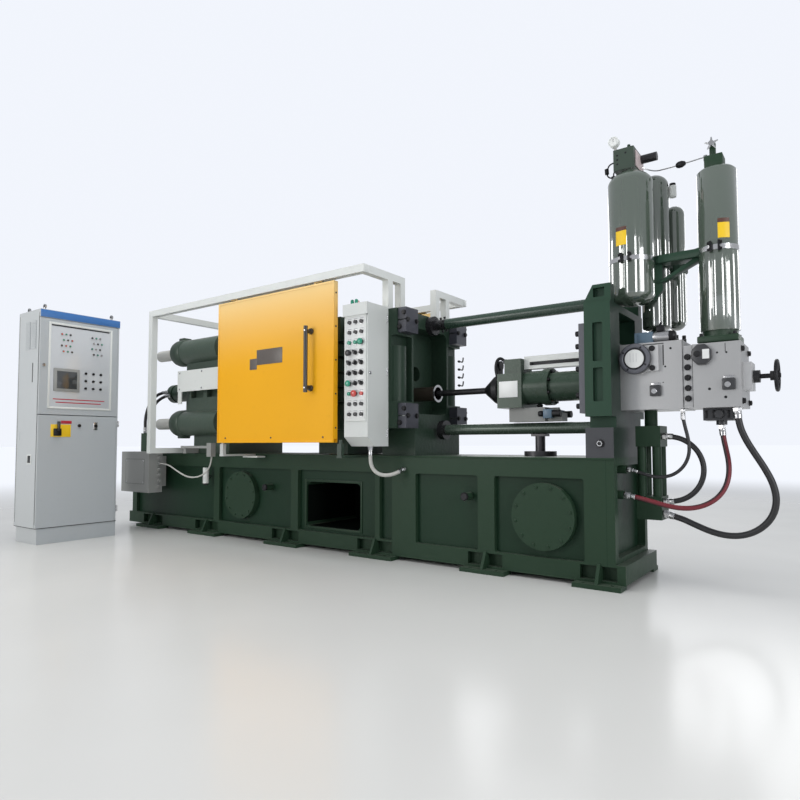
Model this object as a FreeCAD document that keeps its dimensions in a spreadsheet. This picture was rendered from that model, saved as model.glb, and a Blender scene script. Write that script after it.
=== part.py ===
# Cold chamber die casting machine of the 160 t class, with its control cabinet.
# Millimetres. X runs along the machine towards the injection end, -Y is the operator's side
# and Z is up. The origin is on the floor in the middle plane, where the two bases meet.
import FreeCAD, Part
import math
import os
import re

doc = FreeCAD.newDocument("DieCastingMachine")

# ---- driving dimensions -------------------------------------------------------------------
sizes = {
    # the two bases
    "clampBaseLength": 3190, "injectBaseLength": 1385, "baseWidth": 610, "baseHeight": 679,
    "floorGap": 25, "bandOut": 50, "footOut": 60, "footPocket": 40, "gussetThick": 18,
    "recessDepth": 30, "recessLow": 124, "recessHigh": 566, "coverRadius": 187,
    "coverOut": 14, "coverHeight": 350, "windowLeft": -890, "windowRight": -369,
    "windowLow": 157, "windowHigh": 480, "windowWall": 35, "endDeep": 45, "bossRadius": 24,
    # platens and tie bars
    "barPitch": 620, "barRadius": 50, "platenHalf": 390, "barFit": 0.05,
    "fixedLeft": -200, "fixedRight": 30, "clampOut": 65, "clampHalf": 68, "clampTall": 80,
    "clampFace": 20, "ribRadius": 66, "ribDeep": 45,
    "movingRight": -460, "movingThick": 220, "tailLeft": -2300, "tailRight": -1820,
    "drumLeft": -2447, "drumRadius": 108, "coverTubeLeft": -2745, "coverTubeRadius": 48,
    "shoeGap": 5, "slotWide": 22, "slotDeep": 25,
    # toggle
    "tailPinX": -1660, "tailLink": 240, "frontLink": 600, "pinRise": 300, "pinRadius": 35,
    "linkHalf": 50, "innerPlane": 60, "midPlane": 122, "planeGap": 5, "outerPlane": 188,
    "crossPinX": -1235, "crossRise": 90, "crossHalf": 26, "crossPinRadius": 15, "rodRadius": 27.5,
    "cylinderLeft": -2969, "cylinderRadius": 80, "pinFit": 0.05,
    # guard frame and doors
    "tube": 50, "postLeft": -2409, "railRight": -50, "railY": 600,
    "doorLeft": -1497, "doorRight": -306, "doorThick": 36, "handleIn": 205, "handleOut": 52,
    "slotGap": 5, "hangerThick": 8, "railLip": 8, "rollerRadius": 13, "rollerWide": 28,
    "rollerFit": 0.3,
    # control box
    "boxLeft": -233, "boxRight": -39, "boxFront": -598, "boxDeep": 208, "brimTall": 77,
    # shot end
    "sleeveRadius": 50, "sleeveBore": 30, "plungerRadius": 20, "ramRadius": 32,
    "shotFit": 0.05, "headLeft": 605, "headRight": 770, "columnLeft": 1235,
    "columnRight": 1378, "columnHalf": 305, "neckHalf": 230, "plateThick": 38, "barrelRadius": 90,
    "flangeRadius": 108, "linkBarRadius": 35, "jackX": 840, "lugTall": 96,
    # manifold and accumulators
    "manifoldHalf": 147, "stripLeft": 1697, "stripRight": 1744, "manifoldRight": 1965,
    "dialX": 1468, "dialRadius": 82, "dialOut": 46, "stemRadius": 12,
    "wheelX": 2105, "wheelRadius": 82, "bottleRadius": 121, "bottleX": 1424, "bottleY": -50,
    "pistonRadius": 95, "pistonX": 1855, "slimRadius": 78, "slimX": 1506, "slimY": 140,
    "smallRadius": 56, "smallX": 1585, "smallY": 260, "bridgeTall": 45, "starX": 1841,
    "starStem": 7, "starReach": 34,
    # control cabinet
    "cabRight": -2613, "cabDeep": 367, "cabFront": -1402, "cabWide": 624, "cabHigh": 1796,
    "plinth": 120, "sheet": 3, "header": 62, "cabDoorThick": 22, "doorGap": 5,
    "cabSplit": 985, "hingeRadius": 5, "pinGap": 0.05,
}

# Heights, each kept as its rise above the top of the two bases.
rises = {
    "axisHeight": 568, "doorLow": 86, "doorHigh": 1139, "railUnder": 1155, "boxLow": 61,
    "boxHigh": 966, "shotHeight": 421, "neckLow": 161, "neckHigh": 221, "columnTop": 836,
    "upperBarZ": 894, "lowerBarZ": 170, "manifoldLow": 256, "leftBlockHigh": 613,
    "rightBlockHigh": 583, "spindleHeight": 413, "dialHeight": 526, "bottleLow": 839,
    "bottleHigh": 1601, "pistonLow": 661, "pistonHigh": 1516, "slimHigh": 1626,
    "smallLow": 731, "smallHigh": 1466, "bridgeLow": 1066, "starHeight": 1654,
}

sheet = doc.addObject("Spreadsheet::Sheet", "Sizes")
cells = dict(sizes)
cells.update({name + "Rise": value for name, value in rises.items()})
for row, (alias, value) in enumerate(cells.items(), start=1):
    sheet.set("A%d" % row, alias)
    sheet.set("B%d" % row, str(value))
    sheet.setAlias("B%d" % row, alias)
doc.recompute()

def whole_words(names):
    return re.compile(r"\b(" + "|".join(sorted(names, key=len, reverse=True)) + r")\b")


words, heights = whole_words(cells), whole_words(rises)
nodes = {}


def size(alias):
    """The sheet's value of one driving dimension, or of one height above the floor."""
    if alias in rises:
        return size("baseHeight") + float(sheet.get(alias + "Rise"))
    return float(sheet.get(alias))


def bind(item, prop, formula):
    """Tie a property to the sheet, with each height spelled out as its rise above the bases."""
    spelled = heights.sub(r"(baseHeight + \1Rise)", str(formula))
    item.setExpression(prop, words.sub(r"Sizes.\1", spelled))


def place(item, point):
    for letter, formula in zip("xyz", point):
        bind(item, ".Placement.Base." + letter, formula)
    return item


def block(name, x, y, z):
    """A box between two formulas on each axis."""
    item = doc.addObject("Part::Box", name)
    for prop, (low, high) in zip(("Length", "Width", "Height"), (x, y, z)):
        bind(item, prop, "(%s) - (%s)" % (high, low))
    return place(item, (x[0], y[0], z[0]))


def gusset(name, x, low, high, depths, turn, at):
    """A plate along X whose depth narrows from depths[0] at its foot to depths[1] at its top."""
    item = doc.addObject("Part::Wedge", name)
    item.Placement.Rotation = turn
    for prop, formula in (("Xmin", "-(%s) / 2" % x), ("Xmax", "(%s) / 2" % x),
                          ("X2min", "-(%s) / 2" % x), ("X2max", "(%s) / 2" % x),
                          ("Ymin", 0), ("Ymax", "(%s) - (%s)" % (high, low)), ("Zmin", 0),
                          ("Zmax", depths[0]), ("Z2min", 0), ("Z2max", depths[1])):
        bind(item, prop, formula)
    return place(item, (at[0], at[1], low))


turns = {
    "x": FreeCAD.Rotation(FreeCAD.Vector(0, 1, 0), 90),
    "y": FreeCAD.Rotation(FreeCAD.Vector(1, 0, 0), -90),
    "z": FreeCAD.Rotation(),
}


def start(axis, low, centre):
    """The point where a round solid begins: low on its axis, centre on the other two."""
    point = list(centre)
    point.insert("xyz".index(axis), low)
    return point


def rod(name, axis, radius, low, high, centre):
    item = doc.addObject("Part::Cylinder", name)
    item.Placement.Rotation = turns[axis]
    bind(item, "Radius", radius)
    bind(item, "Height", "(%s) - (%s)" % (high, low))
    return place(item, start(axis, low, centre))


def taper(name, axis, first, second, low, high, centre):
    item = doc.addObject("Part::Cone", name)
    item.Placement.Rotation = turns[axis]
    bind(item, "Radius1", first)
    bind(item, "Radius2", second)
    bind(item, "Height", "(%s) - (%s)" % (high, low))
    return place(item, start(axis, low, centre))


def dome(name, radius, rise, centre):
    """A whole ellipsoid with its rise along Z."""
    item = doc.addObject("Part::Ellipsoid", name)
    bind(item, "Radius1", rise)
    bind(item, "Radius2", radius)
    bind(item, "Radius3", radius)
    return place(item, centre)


def ring(name, axis, radius, wire, centre):
    item = doc.addObject("Part::Torus", name)
    item.Placement.Rotation = turns[axis]
    bind(item, "Radius1", radius)
    bind(item, "Radius2", wire)
    return place(item, centre)


def fuse(name, *shapes):
    item = doc.addObject("Part::MultiFuse", name)
    item.Shapes = list(shapes)
    item.Refine = True
    return item


def gather(name, *shapes):
    """Several solids that stay apart, kept as one sub-part."""
    item = doc.addObject("Part::Compound", name)
    item.Links = list(shapes)
    return item


def cut(name, base, *tools):
    item = doc.addObject("Part::Cut", name)
    item.Base = base
    item.Tool = tools[0] if len(tools) == 1 else fuse(name + "Tools", *tools)
    item.Refine = True
    return item


def node(label, item):
    item.Label = label
    nodes[label] = item
    return item


def rounded(name, base, axis, radius):
    """A fillet of one radius on the straight edges that run along an axis."""
    doc.recompute()
    along = FreeCAD.Vector(*[1 if letter == axis else 0 for letter in "xyz"])
    picked = []
    for number, edge in enumerate(base.Shape.Edges, start=1):
        if isinstance(edge.Curve, Part.Line) and edge.Curve.Direction.cross(along).Length < 1e-6:
            picked.append((number, radius, radius))
    item = doc.addObject("Part::Fillet", name)
    item.Base = base
    item.Edges = picked
    return item


sides = (("Front", "-", -1), ("Rear", "", 1))
upright = FreeCAD.Rotation(FreeCAD.Vector(1, 0, 0), 90)      # a wedge that narrows upwards
outward = {"-": upright, "": FreeCAD.Rotation(FreeCAD.Vector(0, 0, 1), 180).multiply(upright)}


def between(sign, low, high):
    """A Y range that lies on the front (-) or the rear side of the middle plane."""
    return ("-(%s)" % high, "-(%s)" % low) if sign == "-" else (low, high)


# ---- bases --------------------------------------------------------------------------------
feetAt = ((-3020, 360), (-2228, 368), (-1262, 352), (-400, 360), (475, 290), (1168, 258))


def recesses(name, spans):
    """Flat recesses in both side faces of a base."""
    tools = []
    for side, sign, _ in sides:
        for number, (left, right) in enumerate(spans):
            inward = between(sign, "baseWidth / 2 - recessDepth", "baseWidth / 2 + 5")
            pocket = block("%sRecess%s%d" % (name, side, number), (left, right), inward,
                           ("recessLow", "recessHigh"))
            tools.append(rounded(pocket.Name + "Round", pocket, "y", 14))
    return tools


def footPockets(name, feet):
    """Two pockets above each foot, with a web left between them for the gusset."""
    tools = []
    for number, (left, length) in enumerate(feet):
        spans = ((left + 25, left + length / 2 - 12), (left + length / 2 + 12, left + length - 35))
        for side, sign, _ in sides:
            for letter, span in zip("AB", spans):
                tools.append(block("%sPocket%s%d%s" % (name, side, number, letter), span,
                                   between(sign, "baseWidth / 2 - footPocket", "baseWidth / 2 + 5"),
                                   ("floorGap + 13", "recessLow - 12")))
    return tools


def base(name, left, right, spans, feet, coverX, stubAt, welded, cuts):
    """A welded base: a closed box with recessed panels, cleanout covers, a stub and foot pockets."""
    body = block(name + "Box", (left, right), ("-baseWidth / 2", "baseWidth / 2"),
                 ("floorGap", "baseHeight"))
    hollow = cut(name + "Panels", body, *recesses(name, spans))
    stub = rod(name + "Stub", "y", 24, "-baseWidth / 2 - 38", "-baseWidth / 2 + recessDepth + 1",
               stubAt)
    covers = [rod(name + "Cover" + side, "y", "coverRadius",
                  *between(sign, "baseWidth / 2 - recessDepth - 1", "baseWidth / 2 + coverOut"),
                  (coverX, "coverHeight")) for side, sign, _ in sides]
    whole = fuse(name + "Welded", hollow, stub, *covers, *welded)
    return cut(name, whole, *cuts, *footPockets(name, feet))


def endBand(name, low, high):
    """The band that steps out round the foot of a base's free end."""
    return block(name, (low, high), ("-baseWidth / 2", "baseWidth / 2"), ("floorGap", "recessLow"))


window = block("WindowCut", ("windowLeft", "windowRight"),
               ("-baseWidth / 2 - 5", "baseWidth / 2 - windowWall"), ("windowLow", "windowHigh"))
clampSpans = (("-clampBaseLength + 70", "-1954"), ("-1881", "-1029"), ("-955", "-219"),
              ("-180", "-75"))
hoseBlock = block("HoseBlock", ("-3092", "-2985"), ("-290", "-235"),
                  ("baseHeight", "baseHeight + 181"))
clampBand = endBand("ClampBand", "-clampBaseLength - bandOut", "-clampBaseLength")
node("clamp_base", base("ClampBase", "-clampBaseLength", "0", clampSpans, feetAt[:4], -1605,
                        (-1272, 424), (hoseBlock, clampBand),
                        (rounded("WindowRound", window, "y", 40),)))

endPocket = block("EndPocket", ("injectBaseLength - endDeep", "injectBaseLength + 5"),
                  ("-baseWidth / 2 + 48", "baseWidth / 2 - 48"), ("recessLow + 26", "baseHeight - 42"))
injectBand = endBand("InjectBand", "injectBaseLength", "injectBaseLength + bandOut")
bosses = [rod("HoseBoss%d" % n, "x", "bossRadius", "injectBaseLength - endDeep - 5", "1400", at)
          for n, at in enumerate(((-133, 616), (-190, 482)))]
injectCut = base("InjectBase", "0", "injectBaseLength", (("115", "570"), ("681", "1220")),
                 feetAt[4:], 985, (504, 440), (injectBand,),
                 (rounded("EndPocketRound", endPocket, "x", 20),))
node("injection_base", fuse("InjectBaseBosses", injectCut, *bosses))

feet = []
for number, (left, length) in enumerate(feetAt):
    for side, sign, _ in sides:
        name = "Foot%s%d" % (side, number)
        pad = block(name + "Pad", (left, left + length),
                    between(sign, "baseWidth / 2 - 40", "baseWidth / 2 + footOut"), ("0", "floorGap"))
        web = gusset(name + "Gusset", "gussetThick", "floorGap", "recessLow - 2",
                     ("footOut - 6", 8), outward[sign], (left + length / 2, sign + "baseWidth / 2"))
        holes = [rod(name + "Hole%d" % k, "z", 11, "-5", "floorGap + 5",
                     (left + length * share, "%s(baseWidth / 2 + footOut / 2)" % sign))
                 for k, share in enumerate((0.2, 0.8))]
        feet.append(cut(name + "Cut", fuse(name + "Joined", pad, web), *holes))
shim = block("JointShim", ("-90", "90"), ("-70", "70"), ("0", "floorGap"))
node("base_feet", gather("BaseFeet", shim, *feet))


# ---- platens ------------------------------------------------------------------------------
corners = [(j, k) for j in (-1, 1) for k in (-1, 1)]


def atBar(j, k):
    return ("%d * barPitch / 2" % j, "axisHeight + %d * barPitch / 2" % k)


def bores(name, radius, low, high):
    return [rod("%sBore%d" % (name, n), "x", radius, low, high, atBar(*corner))
            for n, corner in enumerate(corners)]


def dieSlots(name, low, high):
    """Five level clamping slots across a die face."""
    return [block("%sSlot%d" % (name, n), (low, high), ("-platenHalf - 5", "platenHalf + 5"),
                  ("axisHeight + %g - slotWide / 2" % rise, "axisHeight + %g + slotWide / 2" % rise))
            for n, rise in enumerate((-210, -105, 0, 105, 210))]


square = ("-platenHalf", "platenHalf")
tall = ("axisHeight - platenHalf", "axisHeight + platenHalf")

fixedPlate = block("FixedPlate", ("fixedLeft", "fixedRight"), square, tall)
pocket = block("FixedPocket", ("fixedRight - 130", "fixedRight + 5"), ("-205", "205"),
               ("axisHeight - 290", "axisHeight + 290"))
ribs, ribPockets = [], []
for side, sign, _ in sides:
    ribPockets.append(block("RibPocket" + side, ("fixedRight - ribDeep", "fixedRight + 5"),
                            between(sign, "225", "platenHalf + 5"),
                            ("axisHeight - 215", "axisHeight + 215")))
    ribs.append(rod("FixedRib" + side, "z", "ribRadius", "axisHeight - 216", "axisHeight + 150",
                    ("fixedRight - ribRadius - 2", sign + "304")))
fixedFoot = block("FixedFoot", ("fixedLeft + 20", "fixedRight + 60"), ("-275", "275"),
                  ("baseHeight", "axisHeight - platenHalf"))
shotHoles = [rod("ShotBore", "x", "sleeveRadius", "fixedLeft - 5", "fixedRight + 5",
                 ("0", "shotHeight")),
             rod("UpperShotBore", "x", 52, "fixedLeft - 5", "fixedRight + 5", ("0", "axisHeight"))]
fixedWhole = cut("FixedWhole", fixedPlate, rounded("PocketRound", pocket, "x", 45), *ribPockets,
                 *bores("Fixed", "barRadius", "fixedLeft - 5", "fixedRight + 5"),
                 *dieSlots("Fixed", "fixedLeft - 5", "fixedLeft + slotDeep"), *shotHoles)
node("fixed_platen", fuse("FixedPlaten", fixedWhole, fixedFoot, *ribs))

clamps = []
for n, (j, k) in enumerate(corners):
    y, z = atBar(j, k)
    half = block("Clamp%d" % n, ("fixedRight", "fixedRight + clampOut"),
                 (y + " - clampHalf", y + " + clampHalf"),
                 (z + " - clampTall", z + " + clampTall"))
    clamps.append(cut("ClampCut%d" % n, half,
                      rod("ClampBore%d" % n, "x", "barRadius", "fixedRight - 5",
                          "fixedRight + clampOut - clampFace", (y, z)),
                      block("ClampSplit%d" % n, ("fixedRight - 5", "fixedRight + clampOut + 5"),
                            (y + " - clampHalf - 5", y + " - barRadius + 10"),
                            (z + " - 4", z + " + 4"))))
node("tie_bar_clamps", gather("TieBarClamps", *clamps))

node("tie_bars", gather("TieBars", *[
    fuse("TieBarWhole%d" % n,
         rod("TieBar%d" % n, "x", "barRadius", "drumLeft", "fixedRight + clampOut - clampFace",
             atBar(*corner)),
         rod("TieCover%d" % n, "x", "coverTubeRadius", "coverTubeLeft", "drumLeft", atBar(*corner)))
    for n, corner in enumerate(corners)]))


def earPlates(name, x, low, high):
    """Four ears of a platen, two above and two below the middle, on one pair of Y planes."""
    plates = []
    for k in (-1, 1):
        for side, sign, _ in sides:
            z = "axisHeight + %d * pinRise" % k
            tag = "%s%s%s" % (name, side, "Up" if k > 0 else "Down")
            plates.append(block(tag + "Plate", x, between(sign, low, high),
                                (z + " - linkHalf - 18", z + " + linkHalf + 18")))
    return plates


def earBores(name, x, reach):
    return [rod("%sPinBore%d" % (name, k), "y", "pinRadius + pinFit", "-" + reach, reach,
                (x, "axisHeight + %d * pinRise" % k)) for k in (-1, 1)]


def earNoses(name, x, low, high):
    noses = []
    for k in (-1, 1):
        for side, sign, _ in sides:
            noses.append(rod("%s%sNose%d" % (name, side, k), "y", "linkHalf + 18",
                             *between(sign, low, high), (x, "axisHeight + %d * pinRise" % k)))
    return noses


frontPinX = "(tailPinX + tailLink + frontLink)"
movingBack = "(movingRight - movingThick)"
movingPlate = block("MovingPlate", (movingBack, "movingRight"), square, tall)
shoe = block("MovingShoe", (movingBack + " - 90", "movingRight - 30"), ("-275", "275"),
             ("baseHeight + shoeGap", "axisHeight - platenHalf"))
movingBody = fuse("MovingBody", movingPlate, shoe,
                  *earPlates("MovingEar", (frontPinX, movingBack), "innerPlane", "midPlane - planeGap"),
                  *earNoses("MovingEar", frontPinX, "innerPlane", "midPlane - planeGap"))
node("moving_platen", cut("MovingPlaten", movingBody,
                          *bores("Moving", "barRadius + barFit", movingBack + " - 5",
                                 "movingRight + 5"),
                          *dieSlots("Moving", "movingRight - slotDeep", "movingRight + 5"),
                          *earBores("Moving", frontPinX, "(midPlane + 20)"),
                          rod("EjectorBore", "x", 40, movingBack + " - 5", "movingRight + 5",
                              ("0", "axisHeight"))))

tailPlate = block("TailPlate", ("tailLeft", "tailRight"), ("-platenHalf + 45", "platenHalf - 45"),
                  ("axisHeight - platenHalf + 20", "axisHeight + platenHalf - 20"))
tailFoot = block("TailFoot", ("tailLeft + 40", "tailRight + 40"), ("-290", "290"),
                 ("baseHeight", "axisHeight - platenHalf + 20"))
drums = [rod("Drum%d" % n, "x", "drumRadius", "drumLeft", "tailRight", atBar(*corner))
         for n, corner in enumerate(corners)]
tailBody = fuse("TailBody", tailPlate, tailFoot, *drums,
                *earPlates("TailEar", ("tailRight", "tailPinX"), "midPlane", "outerPlane"),
                *earNoses("TailEar", "tailPinX", "midPlane", "outerPlane"))
tailPockets = []
for side, sign, _ in sides:
    for n, x in enumerate((("tailLeft + 70", "tailLeft + 240"), ("tailLeft + 290", "tailLeft + 430"))):
        tailPockets.append(block("TailPocket%s%d" % (side, n), x,
                                 between(sign, "platenHalf - 90", "platenHalf"),
                                 ("axisHeight - 95", "axisHeight + 95")))
node("tail_platen", cut("TailPlaten", tailBody, *tailPockets,
                        *bores("Tail", "barRadius", "drumLeft - 5", "tailRight + 5"),
                        *earBores("Tail", "tailPinX", "(outerPlane + 20)"),
                        rod("TailRodBore", "x", "rodRadius + pinFit", "tailLeft - 5",
                            "tailRight + 5", ("0", "axisHeight"))))


# ---- toggle and clamp cylinder --------------------------------------------------------------
def linkPlates(name, first, second, z, low, high, half="linkHalf"):
    """Two link plates with round ends, on both sides of the middle plane."""
    parts = []
    for side, sign, _ in sides:
        deep = between(sign, low, high)
        parts += [block(name + side + "Web", (first, second), deep,
                        ("%s - %s * 0.72" % (z, half), "%s + %s * 0.72" % (z, half))),
                  rod(name + side + "EyeA", "y", half, *deep, (first, z)),
                  rod(name + side + "EyeB", "y", half, *deep, (second, z))]
    return parts


kneeX = "(tailPinX + tailLink)"
for way, k in (("upper", 1), ("lower", -1)):
    z = "(axisHeight + %d * pinRise)" % k
    tag = way.title()
    node("tail_link_" + way, fuse(tag + "TailLink", *linkPlates(
        tag + "Tail", "tailPinX", kneeX, z, "innerPlane", "midPlane - planeGap"),
        rod(tag + "TailHub", "y", "linkHalf", "-innerPlane", "innerPlane", ("tailPinX", z)),
        rod(tag + "TailPin", "y", "pinRadius", "-outerPlane - 12", "outerPlane + 12",
            ("tailPinX", z))))
    node("front_link_" + way, fuse(tag + "FrontLink", *linkPlates(
        tag + "Front", kneeX, frontPinX, z, "midPlane", "outerPlane"),
        rod(tag + "FrontPin", "y", "pinRadius", "-outerPlane - 12", "outerPlane + 12",
            (frontPinX, z))))

crossWeb = block("CrossWeb", ("crossPinX - 45", "crossPinX + 45"), ("-100", "100"),
                 ("axisHeight - crossRise - 45", "axisHeight + crossRise + 45"))
crossSlots = [block("CrossSlot%d" % k, ("crossPinX - 50", "crossPinX + 50"), ("-26", "26"),
                    ("axisHeight + %d - 60" % (k * 110), "axisHeight + %d + 60" % (k * 110)))
              for k in (-1, 1)]
crossPins = [rod("CrossPin%d" % k, "y", "crossPinRadius", "-100", "100",
                 ("crossPinX", "axisHeight + %d * crossRise" % k)) for k in (-1, 1)]
clampRod = rod("ClampRod", "x", "rodRadius", "cylinderLeft + 300", "crossPinX - 45",
               ("0", "axisHeight"))
node("crosshead", fuse("Crosshead", cut("CrossCut", crossWeb, *crossSlots), *crossPins, clampRod))


def shortLink(label, k):
    """A flat link from the crosshead's pin to the knee, drawn at its real slope."""
    knee = size("tailPinX") + size("tailLink")
    pin = FreeCAD.Vector(size("crossPinX"), 0, size("axisHeight") + k * size("crossRise"))
    far = FreeCAD.Vector(knee, 0, size("axisHeight") + k * size("pinRise"))
    run = far - pin
    half, thick = size("crossHalf"), 40
    web = Part.makeBox(run.Length, thick, half * 1.5, FreeCAD.Vector(0, -thick / 2, -half * 0.75))
    for x in (0, run.Length):
        eye = Part.makeCylinder(half, thick, FreeCAD.Vector(x, -thick / 2, 0), FreeCAD.Vector(0, 1, 0))
        web = web.fuse(eye)
    hole = Part.makeCylinder(size("crossPinRadius") + size("pinFit"), thick + 10,
                             FreeCAD.Vector(0, -thick / 2 - 5, 0), FreeCAD.Vector(0, 1, 0))
    item = doc.addObject("Part::Feature", label.title().replace("_", ""))
    item.Shape = web.cut(hole).removeSplitter()
    slope = math.degrees(math.atan2(run.z, run.x))
    item.Placement = FreeCAD.Placement(pin, FreeCAD.Rotation(FreeCAD.Vector(0, -1, 0), slope))
    return node(label, item)


shortLink("cross_link_upper", 1)
shortLink("cross_link_lower", -1)

barrel = fuse("ClampBarrelBody",
              rod("ClampBarrel", "x", "cylinderRadius", "cylinderLeft", "tailLeft", ("0", "axisHeight")),
              rod("ClampFlange", "x", "cylinderRadius + 40", "tailLeft - 40", "tailLeft",
                  ("0", "axisHeight")),
              rod("ClampCap", "x", "cylinderRadius + 8", "cylinderLeft - 36", "cylinderLeft + 30",
                  ("0", "axisHeight")))
node("clamp_cylinder", cut("ClampCylinder", barrel,
                           rod("ClampBore", "x", "rodRadius + pinFit", "cylinderLeft + 60",
                               "tailLeft + 5", ("0", "axisHeight"))))

sideCovers = []
sideCoverZ = ("axisHeight - 42", "axisHeight + 137")
for side, sign, _ in sides:
    plate = block("SideCover" + side, ("tailLeft - 30", "-1600"),
                  between(sign, "platenHalf + 16", "platenHalf + 24"), sideCoverZ)
    lip = block("SideCoverLip" + side, ("tailLeft - 30", "tailLeft - 22"),
                between(sign, "platenHalf - 20", "platenHalf + 16"), sideCoverZ)
    drop = block("SideCoverDrop" + side, ("tailLeft - 22", "tailLeft + 30"),
                 between(sign, "platenHalf + 16", "platenHalf + 24"),
                 ("axisHeight - 147", sideCoverZ[0]))
    studs = [rod("SideCoverStud%s%d" % (side, n), "y", 9,
                 *between(sign, "platenHalf - 45", "platenHalf + 16"), (x, "axisHeight + 47"))
             for n, x in enumerate(("tailLeft + 260", "tailLeft + 450"))]
    sideCovers += [plate, lip, drop] + studs
node("tail_side_covers", fuse("TailSideCovers", *sideCovers))


# ---- guard frame and sliding doors ----------------------------------------------------------
def square_tube(name, axis, low, high, centre):
    """A frame member of the common square tube along one axis."""
    spans = [("%s - tube / 2" % c, "%s + tube / 2" % c) for c in centre]
    spans.insert("xyz".index(axis), (low, high))
    return block(name, *spans)


railZ = "(railUnder + tube / 2)"
rails, leftFrame, legFrames = [], [], []
for side, sign, _ in sides:
    y = "(%srailY)" % sign
    rail = square_tube("Rail" + side, "x", "postLeft + tube / 2", "railRight", (y, railZ))
    groove = block("RailGroove" + side, ("postLeft + tube", "railRight - tube"),
                   (y + " - hangerThick / 2 - slotGap", y + " + hangerThick / 2 + slotGap"),
                   ("railUnder - 5", "railUnder + railLip"))
    hollow = block("RailHollow" + side, ("postLeft + tube", "railRight - tube"),
                   (y + " - rollerWide / 2 - 3", y + " + rollerWide / 2 + 3"),
                   ("railUnder + railLip", "railUnder + railLip + rollerFit + 2 * rollerRadius + 5"))
    rails.append(cut("TopRail" + side, rail, groove, hollow))
    leftFrame += [square_tube("Post" + side, "z", "baseHeight + 45", "railUnder + tube", ("postLeft", y)),
                  block("PostArm" + side, ("postLeft - tube / 2", "postLeft + tube / 2"),
                        between(sign, "baseWidth / 2 - 60", "railY + tube / 2"),
                        ("baseHeight", "baseHeight + 45"))]
    back = block("ReturnTube" + side, ("railRight - tube", "railRight"),
                 between(sign, "190", "railY - tube / 2"), ("railUnder", "railUnder + tube"))
    legs = [square_tube("ReturnLeg%s%d" % (side, n), "z", "axisHeight + platenHalf", "railUnder",
                        ("railRight - tube / 2", "(%s%d)" % (sign, at)))
            for n, at in enumerate((350, 215))]
    legFrames.append(fuse("PlatenPosts" + side, back, *legs))
node("top_rails", gather("TopRails", *rails))
cross = square_tube("CrossRail", "y", "-railY + tube / 2", "railY - tube / 2", ("postLeft", railZ))
node("left_guard_frame", fuse("LeftGuardFrame", cross, *leftFrame))
node("platen_posts", gather("PlatenPosts", *legFrames))

guides = []
for side, sign, _ in sides:
    for n, x in enumerate((-1450, -262)):
        tag = "%s%d" % (side, n)
        centre = (x, "%srailY" % sign)
        arm = block("GuideArm" + tag, (x - 22, x + 22), between(sign, "baseWidth / 2", "railY + 14"),
                    ("baseHeight - 14", "baseHeight"))
        stand = block("GuideStand" + tag, (x - 18, x + 18), between(sign, "railY - 14", "railY + 14"),
                      ("baseHeight", "doorLow - 8"))
        knob = rod("GuideRoller" + tag, "z", 11, "doorLow - 8", "doorLow + 16", centre)
        guides.append(fuse("Guide" + tag, arm, stand, knob))
node("door_guides", gather("DoorGuides", *guides))

hangerX = ("(doorLeft + 160)", "(doorRight - 160)")
rollerZ = "(railUnder + railLip + rollerFit + rollerRadius)"
for side, sign, _ in sides:
    way = side.lower()
    y = "(%srailY)" % sign
    skin = block("DoorSkin" + side, ("doorLeft", "doorRight"),
                 (y + " - doorThick / 2", y + " + doorThick / 2"), ("doorLow", "doorHigh"))
    slot = block("DoorSlot" + side, ("doorLeft - 5", "doorRight + 5"), (y + " - 13", y + " + 13"),
                 ("doorLow - 5", "doorLow + 24"))
    hangers = [block("Hanger%s%d" % (side, n), (x + " - 35", x + " + 35"),
                     (y + " - hangerThick / 2", y + " + hangerThick / 2"),
                     ("doorHigh - 30", rollerZ + " + 9"))
               for n, x in enumerate(hangerX)]
    rollers = [rod("Roller%s%d" % (side, n), "y", "rollerRadius", y + " - rollerWide / 2",
                   y + " + rollerWide / 2", (x, rollerZ)) for n, x in enumerate(hangerX)]
    node(way + "_door", fuse("Door" + side, cut("DoorPan" + side, skin, slot), *hangers, *rollers))
    if side == "Front":
        stand = [rod("HandleFoot%d" % n, "y", 13, y + " - doorThick / 2 - handleOut",
                     y + " - doorThick / 2", ("doorRight - handleIn", "doorLow + %d" % up))
                 for n, up in enumerate((365, 735))]
        grip = rod("HandleGrip", "z", 14, "doorLow + 330", "doorLow + 770",
                   ("doorRight - handleIn", y + " - doorThick / 2 - handleOut"))
        node("front_door_handle", fuse("FrontDoorHandle", grip, *stand))


# ---- control box ----------------------------------------------------------------------------
case = block("BoxCase", ("boxLeft", "boxRight"), ("boxFront", "boxFront + boxDeep"),
             ("boxLow", "boxHigh"))
wedge = doc.addObject("Part::Wedge", "BoxChamfer")
for prop, formula in (("Xmin", -5), ("Xmax", "boxRight - boxLeft + 5"), ("X2min", -5),
                      ("X2max", "boxRight - boxLeft + 5"), ("Ymin", 0), ("Ymax", 70),
                      ("Zmin", 0), ("Zmax", 60), ("Z2min", 0), ("Z2max", 0.01)):
    bind(wedge, prop, formula)
place(wedge, ("boxLeft", "boxFront - 0.01", "boxLow - 0.01"))
brim = block("BoxBrim", ("boxLeft - 4", "boxRight + 4"), ("boxFront - 14", "boxFront"),
             ("boxHigh - brimTall", "boxHigh"))
node("control_box", fuse("ControlBox", cut("BoxCut", case, wedge), brim))


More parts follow.
